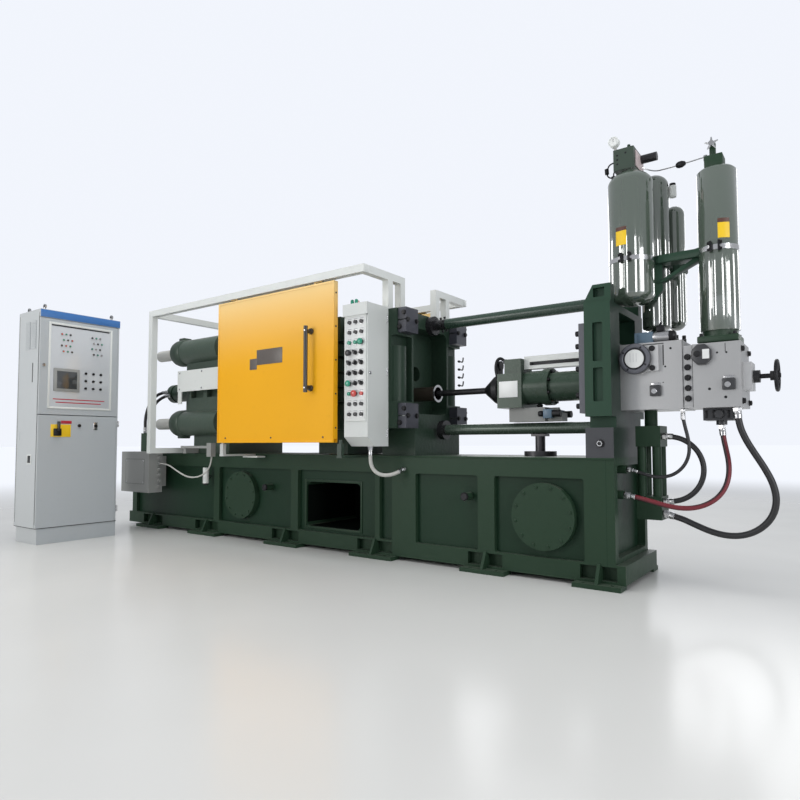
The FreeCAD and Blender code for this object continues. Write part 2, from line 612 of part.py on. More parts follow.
# ---- shot end -------------------------------------------------------------------------------
shotAxis = ("0", "shotHeight")
sleeveBody = fuse("SleeveBody",
                  rod("SleeveBarrel", "x", "sleeveRadius", "fixedLeft", "fixedRight + 42", shotAxis),
                  rod("SleeveRing", "x", "sleeveRadius + 7", "fixedRight + 42", "fixedRight + 56",
                      shotAxis))
node("shot_sleeve", cut("ShotSleeve", sleeveBody,
                        rod("SleeveBore", "x", "sleeveBore", "fixedLeft - 5", "fixedRight + 60",
                            shotAxis)))

plungerTip = rod("PlungerTip", "x", "sleeveBore - shotFit", "-40", "60", shotAxis)
plungerRod = rod("PlungerRod", "x", "plungerRadius", "60", "470", shotAxis)
cone = taper("CouplingCone", "x", 27, 88, "470", "545", shotAxis)
disc = rod("CouplingDisc", "x", 88, "545", "580", shotAxis)
armUp = block("StrikerArm", ("548", "576"), ("-26", "26"), ("shotHeight", "shotHeight + 150"))
eye = rod("StrikerEye", "x", 30, "545", "580", ("0", "shotHeight + 156"))
ram = rod("ShotRam", "x", "ramRadius", "580", "columnLeft - 55", shotAxis)
node("plunger", fuse("Plunger", plungerTip, plungerRod, cone, disc, armUp, eye, ram))

head = block("HeadBlock", ("headLeft", "headRight"), ("-112", "112"),
             ("shotHeight - 125", "shotHeight + 88"))
headTop = block("HeadTop", ("headLeft + 35", "headRight - 18"), ("-80", "80"),
                ("shotHeight + 88", "shotHeight + 180"))
ramBore = rod("RamBore", "x", "ramRadius + shotFit", "headLeft - 5", "headRight + 5", shotAxis)
node("cylinder_head", cut("CylinderHead", fuse("HeadBody", head, headTop), ramBore))
neckRing = rod("BarrelNeck", "x", "flangeRadius - 4", "headRight", "headRight + 112", shotAxis)
flange = rod("BarrelFlange", "x", "flangeRadius + 4", "headRight + 112", "headRight + 162", shotAxis)
tubeEnd = "(columnLeft - plateThick)"
mainBarrel = rod("MainBarrel", "x", "barrelRadius", "headRight + 162", tubeEnd, shotAxis)
node("shot_cylinder", cut("ShotCylinder", fuse("BarrelBody", neckRing, flange, mainBarrel),
                          rod("BarrelBore", "x", "ramRadius + shotFit", "headRight - 5",
                              "columnLeft - 45", shotAxis)))
node("mounting_plate", block("MountingPlate", (tubeEnd, "columnLeft"), ("-285", "285"),
                             ("neckHigh + 20", "shotHeight + 310")))

strokeBody = block("StrokeBody", ("headRight - 18", tubeEnd), ("-30", "30"),
                   ("shotHeight + 116", "shotHeight + 196"))
strokeSlot = block("StrokeSlot", ("headRight + 20", tubeEnd + " - 30"), ("-35", "-8"),
                   ("shotHeight + 148", "shotHeight + 160"))
node("stroke_box", cut("StrokeBox", strokeBody, strokeSlot))
valveBase = block("ValveBase", ("662", "900"), ("-62", "62"), ("shotHeight - 210", "shotHeight - 125"))
node("under_manifold", fuse("UnderManifold", valveBase,
                            block("UnderValveBody", ("900", "1000"), ("-40", "40"),
                                  ("shotHeight - 210", "shotHeight - 160")),
                            rod("UnderValveKnob", "x", 17, "900", "965", ("0", "shotHeight - 143"))))

mainColumn = block("ColumnMain", ("columnLeft", "columnRight"), ("-columnHalf", "columnHalf"),
                   ("neckHigh", "columnTop"))
neck = block("ColumnNeck", ("columnLeft", "columnRight"), ("-neckHalf", "neckHalf"),
             ("neckLow", "neckHigh"))
crown = block("ColumnCrown", ("columnLeft", "columnLeft + 56"), ("-110", "110"),
              ("columnTop - 140", "columnTop + lugTall"))
lugs, columnCuts = [], []
for side, sign, _ in sides:
    lug = block("ColumnLug" + side, ("columnLeft", "columnRight"),
                between(sign, "columnHalf - 75", "columnHalf - 15"), ("columnTop", "columnTop + lugTall"))
    slope = doc.addObject("Part::Box", "LugSlope" + side)
    slope.Placement.Rotation = FreeCAD.Rotation(FreeCAD.Vector(0, 1, 0), 29)
    for prop, formula in (("Length", 60), ("Width", 70), ("Height", 140)):
        bind(slope, prop, formula)
    place(slope, ("columnLeft - 60", "%s(columnHalf - 45) - 35" % sign, "columnTop + 30"))
    hollow = block("LugHollow" + side, ("columnLeft + 48", "columnRight - 34"),
                   between(sign, "columnHalf - 43", "columnHalf - 10"),
                   ("columnTop + 28", "columnTop + lugTall - 18"))
    lugs.append(cut("ColumnLugCut" + side, lug, slope, hollow))
    for n, (low, high) in enumerate(((516, 724), (301, 481))):
        slotCut = block("ColumnSlot%s%d" % (side, n), ("columnLeft + 46", "columnRight - 44"),
                        between(sign, "columnHalf - 22", "columnHalf + 5"),
                        ("baseHeight + %d" % low, "baseHeight + %d" % high))
        columnCuts.append(rounded(slotCut.Name + "Round", slotCut, "y", 6))
columnCuts.append(block("ColumnHollow", ("columnRight - 90", "columnRight + 5"), ("-150", "150"),
                        ("leftBlockHigh + 8", "columnTop - 40")))
node("column", fuse("Column", cut("ColumnCut", fuse("ColumnBody", mainColumn, neck), *columnCuts),
                    rounded("CrownRound", crown, "x", 40), *lugs))
node("column_foot", block("ColumnFoot", ("columnLeft", "columnRight + 7"),
                          ("-columnHalf", "columnHalf"), ("baseHeight", "neckLow")))

bars = []
for way, z, left in (("Upper", "upperBarZ", "fixedRight"), ("Lower", "lowerBarZ", "fixedRight + 90")):
    bars.append(fuse(way + "Link",
                     rod(way + "LinkBar", "x", "linkBarRadius", left, "columnLeft", ("0", z)),
                     rod(way + "CollarA", "x", "linkBarRadius + 30", left, left + " + 40", ("0", z)),
                     rod(way + "CollarB", "x", "linkBarRadius + 30", "columnLeft - 40", "columnLeft",
                         ("0", z))))
node("link_bars", gather("LinkBars", *bars))
jackTop = "(lowerBarZ - linkBarRadius)"
node("support_jack", fuse("SupportJack",
                          rod("JackFoot", "z", 98, "baseHeight", "baseHeight + 30", ("jackX", "0")),
                          rod("JackStem", "z", 30, "baseHeight + 30", jackTop + " - 14", ("jackX", "0")),
                          block("JackSeat", ("jackX - 45", "jackX + 45"), ("-36", "36"),
                                (jackTop + " - 14", jackTop))))


# ---- manifold, valves and accumulators --------------------------------------------------------
deep = ("-manifoldHalf", "manifoldHalf")
node("valve_manifold", fuse("ValveManifold",
                            block("ManifoldLeft", ("columnRight", "stripLeft"), deep,
                                  ("manifoldLow", "leftBlockHigh")),
                            block("ManifoldStrip", ("stripLeft", "stripRight"),
                                  ("-manifoldHalf + 6", "manifoldHalf - 6"),
                                  ("manifoldLow + 4", "rightBlockHigh - 4")),
                            block("ManifoldRight", ("stripRight", "manifoldRight"), deep,
                                  ("manifoldLow", "rightBlockHigh"))))
dialValve = fuse("DialValve",
                 rod("DialBody", "y", "dialRadius", "-manifoldHalf - dialOut", "-manifoldHalf",
                     ("dialX", "dialHeight")),
                 block("DialFlange", ("dialX", "dialX + dialRadius + 34"),
                       ("-manifoldHalf - dialOut / 2", "-manifoldHalf"),
                       ("dialHeight - dialRadius + 14", "dialHeight + dialRadius - 14")))
spindle = ("0", "spindleHeight")
node("spindle_block", cut("SpindleBlock",
                          fuse("SpindleBody",
                               block("SpindleBox", ("manifoldRight", "manifoldRight + 36"),
                                     ("-70", "70"), ("spindleHeight - 70", "spindleHeight + 70")),
                               rod("SpindleGland", "x", 32, "manifoldRight + 36",
                                   "manifoldRight + 66", spindle)),
                          rod("SpindleBore", "x", "stemRadius + pinGap", "manifoldRight + 5",
                              "manifoldRight + 70", spindle)))
wheelParts = [rod("SpindleStem", "x", "stemRadius", "manifoldRight + 10", "wheelX + 16", spindle),
              rod("WheelHub", "x", 24, "wheelX - 30", "wheelX + 12", spindle),
              ring("WheelRim", "x", "wheelRadius - 9", 9, ["wheelX", *spindle])]
for n in range(3):
    spoke = rod("WheelSpoke%d" % n, "z", 7, "spindleHeight", "spindleHeight + wheelRadius - 9",
                ("wheelX", "0"))
    spoke.Placement.Rotation = FreeCAD.Rotation(FreeCAD.Vector(1, 0, 0), 120 * n)
    wheelParts.append(spoke)
node("throttle_handwheel", fuse("ThrottleHandwheel", *wheelParts))

hexX = "(manifoldRight - 115)"
hexValve = fuse("HexValve",
                block("HexBody", (hexX + " - 75", hexX + " + 75"), ("-72", "72"),
                      ("manifoldLow - 62", "manifoldLow")),
                rod("HexSpigot", "z", 26, "manifoldLow - 84", "manifoldLow - 62", (hexX, "0")))
coil = ("-93", "leftBlockHigh + 34")
solenoidValve = fuse("SolenoidValve",
                     block("SolenoidBody", ("dialX - 18", "dialX + 77"), ("-120", "-66"),
                           ("leftBlockHigh", "leftBlockHigh + 62")),
                     rod("SolenoidCoil", "x", 24, "dialX + 77", "dialX + 157", coil),
                     rod("SolenoidCap", "x", 20, "dialX + 157", "dialX + 187", coil))
node("manifold_valves", gather("ManifoldValves", dialValve, hexValve, solenoidValve))

unitX = ("1432", "1562")
unitParts = [block("UnitTop", unitX, ("-75", "75"), ("manifoldLow - 197", "manifoldLow - 85")),
             block("UnitBottom", unitX, ("-75", "75"), ("manifoldLow - 590", "manifoldLow - 465")),
             rod("UnitNeck", "z", 34, "manifoldLow - 85", "manifoldLow", ("1497", "0"))]
for n, (x, y) in enumerate(((1458, -48), (1536, -48), (1458, 48), (1536, 48))):
    unitParts.append(rod("UnitBarrel%d" % n, "z", 24, "manifoldLow - 465", "manifoldLow - 197", (x, y)))
node("cylinder_unit", fuse("CylinderUnit", *unitParts))


def bottle(name, radius, x, y, low, high, bottom, top):
    """A pressed steel bottle: a straight wall between two domed ends."""
    return fuse(name, rod(name + "Wall", "z", radius, "%s + %s" % (low, bottom),
                          "%s - %s" % (high, top), (x, y)),
                dome(name + "Bottom", radius, bottom, (x, y, "%s + %s" % (low, bottom))),
                dome(name + "Top", radius, top, (x, y, "%s - %s" % (high, top))))


bottleNeck = rod("LargeBottleNeck", "z", 46, "bottleHigh - 20", "bottleHigh + 4", ("bottleX", "bottleY"))
node("large_bottle", fuse("LargeBottleWhole", bottleNeck,
                          bottle("LargeBottle", "bottleRadius", "bottleX", "bottleY", "bottleLow",
                                 "bottleHigh", "62", "78")))
slimLow = "(leftBlockHigh + 100)"
slim = fuse("SlimAssembly",
            bottle("SlimBottle", "slimRadius", "slimX", "slimY", slimLow, "slimHigh", "30", "70"),
            block("BottleFootPlate", ("slimX - 60", "slimX + 60"), ("manifoldHalf - 97", "manifoldHalf"),
                  ("leftBlockHigh", "leftBlockHigh + 40")),
            rod("BottleFootNeck", "z", 36, "leftBlockHigh + 40", slimLow + " + 8", ("slimX", "slimY")))
small = bottle("SmallBottle", "smallRadius", "smallX", "smallY", "smallLow", "smallHigh", "54", "54")
node("rear_bottles", gather("RearBottles", slim, small))
tower = fuse("TowerBody",
             rod("TowerWall", "z", "pistonRadius", "pistonLow", "pistonHigh", ("pistonX", "0")),
             block("TowerFlange", ("pistonX - 96", "pistonX + 96"), ("-96", "96"),
                   ("rightBlockHigh + 12", "rightBlockHigh + 44")),
             rod("TowerFoot", "z", 84, "rightBlockHigh", "pistonLow", ("pistonX", "0")),
             block("TowerCap", ("pistonX - 50", "pistonX + 38"), ("-48", "48"),
                   ("pistonHigh", "pistonHigh + 74")),
             block("StarPost", ("starX - 14", "starX + 14"), ("-16", "16"),
                   ("pistonHigh + 74", "starHeight + 16")))
starAxis = ("starX", "starHeight")
node("piston_accumulator", cut("PistonAccumulator", tower,
                               rod("StarBore", "y", "starStem + pinGap", "-21", "8", starAxis)))
starParts = [rod("StarStem", "y", "starStem", "-40", "4", starAxis),
             rod("StarHub", "y", 14, "-46", "-26", starAxis)]
for n in range(5):
    arm = taper("StarArm%d" % n, "z", 8, 3, "starHeight", "starHeight + starReach", ("starX", "-36"))
    arm.Placement.Rotation = FreeCAD.Rotation(FreeCAD.Vector(0, 1, 0), 72 * n)
    starParts.append(arm)
node("star_handle", fuse("StarHandle", *starParts))

held = (("A", "bottleRadius", "bottleX", "bottleY", 14), ("B", "pistonRadius", "pistonX", "0", 14),
        ("C", "slimRadius", "slimX", "slimY", 12), ("D", "smallRadius", "smallX", "smallY", 12))
bridge = block("BridgeBar", ("bottleX", "pistonX"), ("-30", "55"), ("bridgeLow", "bridgeLow + bridgeTall"))
bridgeEnds = [rod("BridgeEnd" + letter, "z", "%s + %d" % (radius, wall), "bridgeLow",
                  "bridgeLow + bridgeTall", (x, y)) for letter, radius, x, y, wall in held]
bridgeBores = [rod("BridgeBore" + letter, "z", radius, "bridgeLow - 5", "bridgeLow + bridgeTall + 5",
                   (x, y)) for letter, radius, x, y, wall in held]
node("bottle_bridge", cut("BottleBridge", fuse("BridgeBody", bridge, *bridgeEnds), *bridgeBores))

topLow = "(bottleHigh + 4)"
node("bottle_valve_block", fuse("BottleValveBlock",
     block("TopBlock", ("bottleX - 74", "bottleX + 38"), ("bottleY - 60", "bottleY + 125"),
           (topLow, topLow + " + 120")),
     rod("GaugeStem", "z", 8, topLow + " + 120", topLow + " + 148", ("bottleX - 66", "bottleY - 44")),
     rod("GaugeBody", "y", 27, "bottleY - 60", "bottleY - 28",
         ("bottleX - 72", topLow + " + 171")),
     rod("CheckValve", "x", 24, "bottleX + 38", "bottleX + 128", ("bottleY + 78", topLow + " + 88"))))


# ---- left end equipment ---------------------------------------------------------------------
junction = block("JunctionCase", ("-3046", "-2605"),
                 ("-baseWidth / 2 - 195", "-baseWidth / 2 - 65"), ("332", "690"))
junctionMount = block("JunctionMount", ("-3000", "-2650"), ("-baseWidth / 2 - 65", "-baseWidth / 2"),
                      ("380", "650"))
glands = [rod("Gland%d" % n, "x", 13, "-2605", "-2577", ("-baseWidth / 2 - 100", z))
          for n, z in enumerate((385, 435, 485, 535, 585, 635))]
node("junction_box", fuse("JunctionBox", junction, junctionMount, *glands))

switchArm = block("SwitchArm", ("-2230", "-1800"), ("-440", "-415"),
                  ("baseHeight + 43", "baseHeight + 63"))
switchFoot = block("SwitchFoot", ("-2230", "-2190"), ("-415", "-290"),
                   ("baseHeight", "baseHeight + 63"))
switchBody = block("SwitchBody", ("-1845", "-1790"), ("-460", "-415"),
                   ("baseHeight - 24", "baseHeight + 86"))
node("limit_switch", fuse("LimitSwitch", switchArm, switchFoot, switchBody))


# ---- control cabinet ------------------------------------------------------------------------
cabLeft = "(cabRight - cabDeep)"
cabBack = "(cabFront + cabWide)"
shell = block("CabShell", (cabLeft, "cabRight - cabDoorThick"), ("cabFront", cabBack), ("plinth", "cabHigh"))
room = block("CabRoom", (cabLeft + " + sheet", "cabRight - cabDoorThick + 5"),
             ("cabFront + sheet", cabBack + " - sheet"), ("plinth + sheet", "cabHigh - header - sheet"))
latchCut = block("CabHandleCut", (cabLeft + " + 60", cabLeft + " + 110"), ("cabFront - 5", "cabFront + 2"),
               ("790", "850"))
headerStrip = block("CabHeader", ("cabRight - cabDoorThick", "cabRight"), ("cabFront", cabBack),
             ("cabHigh - header", "cabHigh"))
hingeAt = ("cabRight - 10", "%s - 10" % cabBack)
plinthBox = block("CabinetPlinth", (cabLeft + " + 15", "cabRight - 4"),
                  ("cabFront + 12", cabBack + " - 4"), ("0", "plinth"))
backPlate = block("CabinetBackPlate", (cabLeft + " + 60", cabLeft + " + 63"),
                  ("cabFront + 40", cabBack + " - 40"),
                  ("plinth + sheet", "cabHigh - header - sheet"))
hingePin = rod("CabinetHingePin", "z", "hingeRadius", "plinth", "cabHigh - header", hingeAt)
node("cabinet_body", fuse("CabinetBody", cut("CabinetCase", fuse("CabinetSolid", shell, headerStrip), room,
                                             latchCut), plinthBox, backPlate, hingePin))
doorY = ("cabFront + 2", cabBack + " - 22")
for label, low, high in (("cabinet_lower_door", "plinth + 4", "cabSplit - 3"),
                         ("cabinet_upper_door", "cabSplit + 3", "cabHigh - header - 4")):
    tag = label.title().replace("_", "")
    panel = block(tag + "Panel", ("cabRight - cabDoorThick + 3", "cabRight"), doorY, (low, high))
    hub = rod(tag + "Barrel", "z", 8, low, high, hingeAt)
    web = block(tag + "Web", ("cabRight - 14", "cabRight - 6"), (cabBack + " - 22", hingeAt[1]), (low, high))
    bore = rod(tag + "Bore", "z", "hingeRadius + pinGap", low + " - 5", high + " + 5", hingeAt)
    node(label, cut(tag, fuse(tag + "Body", panel, hub, web), bore))


# ---- hoses and cables -----------------------------------------------------------------------
def corner_points(points):
    """Each inner point's arc as its start, middle and end, with its radius."""
    arcs = []
    for before, point, after in zip(points, points[1:], points[2:]):
        back, ahead = before - point, after - point
        shorter = min(back.Length, ahead.Length)
        back.normalize()
        ahead.normalize()
        half = (math.pi - back.getAngle(ahead)) / 2
        radius = 0.45 * shorter / math.tan(half)
        inset = radius * math.tan(half)
        toCentre = (back + ahead).normalize()
        middle = point + toCentre * (radius / math.cos(half) - radius)
        arcs.append((point + back * inset, middle, point + ahead * inset, radius))
    return arcs


def hose(label, diameter, route):
    """A round tube along straight runs and tangent arcs."""
    points = [FreeCAD.Vector(*p) for p in route]
    arcs = corner_points(points)
    edges, last = [], points[0]
    for first, middle, final, _ in arcs:
        edges.append(Part.LineSegment(last, first).toShape())
        edges.append(Part.Arc(first, middle, final).toShape())
        last = final
    edges.append(Part.LineSegment(last, points[-1]).toShape())
    wire = Part.Wire(edges)
    section = Part.Wire(Part.makeCircle(diameter / 2, points[0], points[1] - points[0]))
    solid = wire.makePipeShell([section], True, False)
    item = doc.addObject("Part::Feature", label.title().replace("_", ""))
    item.Shape = solid
    expected = math.pi * diameter ** 2 / 4 * wire.Length
    runs = [round((b - a).Length) for a, b in zip(points, points[1:])]
    print(label, "length %.0f" % wire.Length, "volume ratio %.4f" % (solid.Volume / expected))
    print("   runs", runs, "arc radii", [round(a[3]) for a in arcs])
    return node(label, item)


hose("loop_hose", 28, ((1562, -40, 794), (1618, -41, 792), (1671, -42, 776), (1716, -43, 744),
                       (1749, -44, 700), (1767, -45, 647), (1767, -45, 591), (1749, -44, 538),
                       (1716, -43, 494), (1671, -42, 462), (1618, -41, 446), (1562, -40, 444)))
hose("pilot_hose", 18, ((1685, -108, 935), (1685, -108, 888), (1694, -109, 841), (1705, -110, 795),
                        (1713, -112, 748), (1712, -115, 700), (1697, -118, 655), (1669, -120, 617),
                        (1631, -124, 590), (1585, -128, 578), (1538, -130, 579), (1492, -132, 591),
                        (1446, -133, 606), (1400, -133, 616)))
hose("red_hose", 26, ((1850, -5, 851), (1857, -10, 785), (1871, -23, 720), (1884, -39, 657),
                      (1886, -58, 593), (1871, -77, 530), (1836, -98, 478), (1784, -120, 442),
                      (1723, -139, 424), (1658, -155, 424), (1594, -169, 437), (1530, -181, 455),
                      (1466, -190, 471), (1400, -190, 482)))
hose("large_hose", 32, ((1935, -100, 935), (1941, -100, 854), (1968, -97, 777), (2007, -94, 705),
                        (2048, -91, 634), (2082, -88, 559), (2095, -83, 479), (2076, -78, 401),
                        (2025, -73, 338), (1954, -67, 298), (1873, -61, 288), (1793, -55, 303),
                        (1717, -50, 333), (1642, -43, 364), (1562, -40, 380)))
hose("return_hose", 28, ((-2988, -87, 1258), (-2993, -149, 1248), (-3003, -201, 1216),
                         (-3017, -237, 1166), (-3031, -259, 1108), (-3045, -270, 1048),
                         (-3055, -273, 986), (-3061, -270, 923), (-3064, -264, 860)))
hose("pressure_hose", 28, ((-2955, -86, 1228), (-2958, -141, 1211), (-2967, -188, 1180),
                           (-2980, -223, 1137), (-2992, -248, 1086), (-3001, -261, 1031),
                           (-3008, -266, 975), (-3011, -265, 917), (-3012, -262, 860)))
hose("panel_conduit", 24, ((-112, -478, 740), (-113, -479, 697), (-113, -482, 653),
                           (-103, -481, 611), (-80, -470, 576), (-49, -447, 557), (-19, -416, 555),
                           (6, -382, 564), (22, -345, 580), (30, -305, 594)))
hose("switch_cable", 12, ((-1818, -430, 655), (-1829, -430, 595), (-1865, -431, 544),
                          (-1917, -433, 511), (-1975, -435, 491), (-2036, -436, 481),
                          (-2098, -438, 481), (-2159, -438, 490), (-2218, -437, 507),
                          (-2277, -434, 526), (-2336, -429, 545), (-2394, -422, 564),
                          (-2454, -414, 576), (-2515, -407, 583), (-2577, -405, 585)))


# ---- check and write ------------------------------------------------------------------------
doc.recompute()
faults = [item.Name for item in doc.Objects
          if "Invalid" in item.State or "Error" in item.State]
for label, item in nodes.items():
    if item.Shape.isNull() or not item.Shape.isValid() or not item.Shape.Solids:
        faults.append(label)
if faults:
    raise SystemExit("failed: " + ", ".join(faults))

os.makedirs("parts", exist_ok=True)
for label, item in nodes.items():
    item.Shape.exportStep("parts/%s.step" % label)
print(len(nodes), "nodes written")
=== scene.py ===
# Looks of the cold chamber die casting machine, added to its solid parts. Metres.
# X runs along the machine to the injection end, -Y is the operator's side and Z is up.
import math

import bmesh
import bpy
from mathutils import Matrix, Vector


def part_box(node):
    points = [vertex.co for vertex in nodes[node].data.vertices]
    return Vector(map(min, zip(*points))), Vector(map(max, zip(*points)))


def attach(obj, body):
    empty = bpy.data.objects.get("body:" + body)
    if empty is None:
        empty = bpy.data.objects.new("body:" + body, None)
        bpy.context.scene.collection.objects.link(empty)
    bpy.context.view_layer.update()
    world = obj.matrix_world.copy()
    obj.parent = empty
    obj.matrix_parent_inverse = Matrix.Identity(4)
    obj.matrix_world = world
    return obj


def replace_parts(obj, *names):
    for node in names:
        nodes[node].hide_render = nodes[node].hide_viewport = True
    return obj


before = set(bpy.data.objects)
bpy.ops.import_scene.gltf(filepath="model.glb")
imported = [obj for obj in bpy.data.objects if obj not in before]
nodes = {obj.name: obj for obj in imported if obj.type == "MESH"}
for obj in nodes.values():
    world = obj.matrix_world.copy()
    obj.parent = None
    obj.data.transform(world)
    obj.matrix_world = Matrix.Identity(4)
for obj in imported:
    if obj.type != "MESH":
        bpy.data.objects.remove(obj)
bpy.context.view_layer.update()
scene = bpy.context.scene
print("frame loaded:", len(nodes), "parts")


# camera and light
camera = {"place": (2.395, -3.506, 0.758), "yaw": 0.6204, "pitch": 0.04877, "roll": -0.00223,
          "lens": 27.5, "shift": (-0.018, 0.017)}


def linked(name, data):
    thing = bpy.data.objects.new(name, data)
    scene.collection.objects.link(thing)
    return thing


def addPiece(name, data, body):
    # a finished piece that rides a body
    piece = linked(name, data)
    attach(piece, body)
    return piece


def makeCamera():
    data = bpy.data.cameras.new("camera")
    data.sensor_width = 36
    data.lens = camera["lens"]
    data.shift_x, data.shift_y = camera["shift"]
    data.clip_end = 200
    thing = linked("camera", data)
    turn = (Matrix.Rotation(camera["yaw"], 4, "Z") @ Matrix.Rotation(math.pi / 2 + camera["pitch"], 4,
        "X")
            @ Matrix.Rotation(camera["roll"], 4, "Z"))
    thing.matrix_world = Matrix.Translation(camera["place"]) @ turn
    scene.camera = thing


lights = {  # name: place, aim, width, height, watts, colour
    "skylight": ((-0.8, -1.0, 6.4), (-0.4, -0.2, 0.8), 7.5, 4.5, 310, (1.0, 1.0, 1.0)),
    "window": ((-3.2, -6.2, 2.2), (-0.6, -0.4, 1.0), 2.4, 3.0, 120, (1.0, 0.99, 0.97)),
    "endFill": ((6.2, -2.2, 1.9), (0.0, -0.3, 1.0), 1.6, 2.4, 105, (0.98, 0.99, 1.0)),
    "rearFill": ((-1.0, 5.6, 3.4), (-0.5, 0.0, 1.0), 6.0, 2.4, 120, (0.97, 0.98, 1.0)),
}
mirrored = bpy.data.collections.new("mirrored")  # the pieces that the cards light
cards = {  # upright panels mirrored by the bottles' paint: bearing in degrees, width, brightness
    "around": (1.6, 0.0), "distance": 5.0, "middle": 1.95, "tall": 2.8,
    "rows": ((172, 0.9, 9), (-134, 0.55, 12), (-114, 0.12, 12), (-100, 0.34, 14), (-57, 0.6, 13),
             (-38, 0.14, 10),
             (12, 0.8, 9), (60, 0.6, 7), (110, 0.5, 7)),
}


def panelLight(name, place, away, width, height, watts, colour=(1.0, 1.0, 1.0)):
    # a rectangular light with its back to the way that away points
    data = bpy.data.lights.new(name, "AREA")
    data.shape = "RECTANGLE"
    data.size, data.size_y = width, height
    data.energy = watts
    data.color = colour
    thing = linked(name, data)
    thing.matrix_world = Matrix.Translation(place) @ away.to_track_quat("Z", "Y").to_matrix().to_4x4()
    return thing


def makeLights():
    for name, (place, aim, width, height, watts, colour) in lights.items():
        thing = panelLight(name, place, Vector(place) - Vector(aim), width, height, watts, colour)
        thing.visible_glossy = name != "skylight"


def makeCards():
    middle = Vector((*cards["around"], cards["middle"]))
    for bearing, width, bright in cards["rows"]:
        turn = math.radians(bearing)
        away = Vector((math.cos(turn), math.sin(turn), 0))
        watts = bright * math.pi * width * cards["tall"]
        thing = panelLight("card", middle + away * cards["distance"], away, width, cards["tall"], watts)
        thing.visible_diffuse = False
        thing.visible_camera = False
        thing.light_linking.receiver_collection = mirrored


# shader helpers
class Wire:
    # one socket, so that shader maths reads as plain arithmetic
    def __init__(self, tree, socket):
        self.tree = tree
        self.socket = socket

    def maths(self, operation, *values, clamp=False):
        node = self.tree.nodes.new("ShaderNodeMath")
        node.operation = operation
        node.use_clamp = clamp
        for slot, value in zip(node.inputs, values):
            if isinstance(value, Wire):
                self.tree.links.new(value.socket, slot)
            else:
                slot.default_value = value
        return Wire(self.tree, node.outputs[0])

    def __add__(self, other):
        return self.maths("ADD", self, other)

    __radd__ = __add__

    def __sub__(self, other):
        return self.maths("SUBTRACT", self, other)

    def __rsub__(self, other):
        return self.maths("SUBTRACT", other, self)

    def __mul__(self, other):
        return self.maths("MULTIPLY", self, other)

    __rmul__ = __mul__

    def __truediv__(self, other):
        return self.maths("DIVIDE", self, other)

    def __gt__(self, other):
        return self.maths("GREATER_THAN", self, other)

    def __lt__(self, other):
        return self.maths("LESS_THAN", self, other)

    def limited(self):
        return self.maths("ADD", self, 0.0, clamp=True)


class Finish:
    # a material under construction
    def __init__(self, name, **plain):
        self.material = bpy.data.materials.new(name)
        self.material.use_nodes = True
        self.tree = self.material.node_tree
        self.tree.nodes.clear()
        self.shader = self.tree.nodes.new("ShaderNodeBsdfPrincipled")
        output = self.tree.nodes.new("ShaderNodeOutputMaterial")
        self.tree.links.new(self.shader.outputs[0], output.inputs[0])
        self.set(**plain)
        self.place = self.node("ShaderNodeTexCoord")["Object"]
        self.bumps = None

    def fill(self, slot, value):
        if isinstance(value, Wire):
            self.tree.links.new(value.socket, slot)
        elif hasattr(slot.default_value, "__len__") and len(slot.default_value) == 4:
            slot.default_value = (*value, 1.0)[:4]
        else:
            slot.default_value = value

    def set(self, **values):
        for word, value in values.items():
            title = {"colour": "Base Color", "roughness": "Roughness", "metallic": "Metallic",
                     "coat": "Coat Weight", "coatRoughness": "Coat Roughness", "coatIor": "Coat IOR",
                     "specular": "Specular IOR Level", "normal": "Normal", "alpha": "Alpha",
                     "transmission": "Transmission Weight", "glow": "Emission Color",
                     "glowStrength": "Emission Strength"}[word]
            self.fill(self.shader.inputs[title], value)
        return self

    def node(self, kind, settings=None, **values):
        node = self.tree.nodes.new(kind)
        for word, value in (settings or {}).items():
            if word == "stops":
                ramp = node.color_ramp
                while len(ramp.elements) < len(value):
                    ramp.elements.new(0.5)
                for element, (at, colour) in zip(ramp.elements, value):
                    element.position = at
                    element.color = (*colour, 1.0) if hasattr(colour, "__len__") else (colour,
                        ) * 3 + (1.0,)
            else:
                setattr(node, word, value)
        for word, value in values.items():
            self.fill(node.inputs[word if word in node.inputs else int(word[1:])], value)
        return {socket.name: Wire(self.tree, socket) for socket in node.outputs if socket.enabled}

    def axis(self, letter):
        return self.node("ShaderNodeSeparateXYZ", Vector=self.place)[letter]

    def noise(self, scale, detail=3.0, stretch=None):
        at = self.place
        if stretch:
            at = self.node("ShaderNodeMapping", {}, Vector=at, Scale=stretch)["Vector"]
        return self.node("ShaderNodeTexNoise", {}, Vector=at, Scale=scale, Detail=detail)["Fac"]

    def mix(self, share, first, second, blend="MIX"):
        made = self.node("ShaderNodeMix", {"data_type": "RGBA", "blend_type": blend}, _0=share, _6=first,
                         _7=second)
        return made["Result"]

    def bump(self, height, depth, strength=1.0):
        # depth is the real height of the relief
        made = self.tree.nodes.new("ShaderNodeBump")
        made.inputs["Strength"].default_value = strength
        made.inputs["Distance"].default_value = depth
        self.tree.links.new(height.socket, made.inputs["Height"])
        if self.bumps is not None:
            self.tree.links.new(self.bumps, made.inputs["Normal"])
        self.bumps = made.outputs[0]
        self.tree.links.new(self.bumps, self.shader.inputs["Normal"])
        return self


def facing(finish):
    # the way the surface looks, as its X, Y and Z
    normal = finish.node("ShaderNodeNewGeometry")["Normal"]
    return finish.node("ShaderNodeSeparateXYZ", Vector=normal)


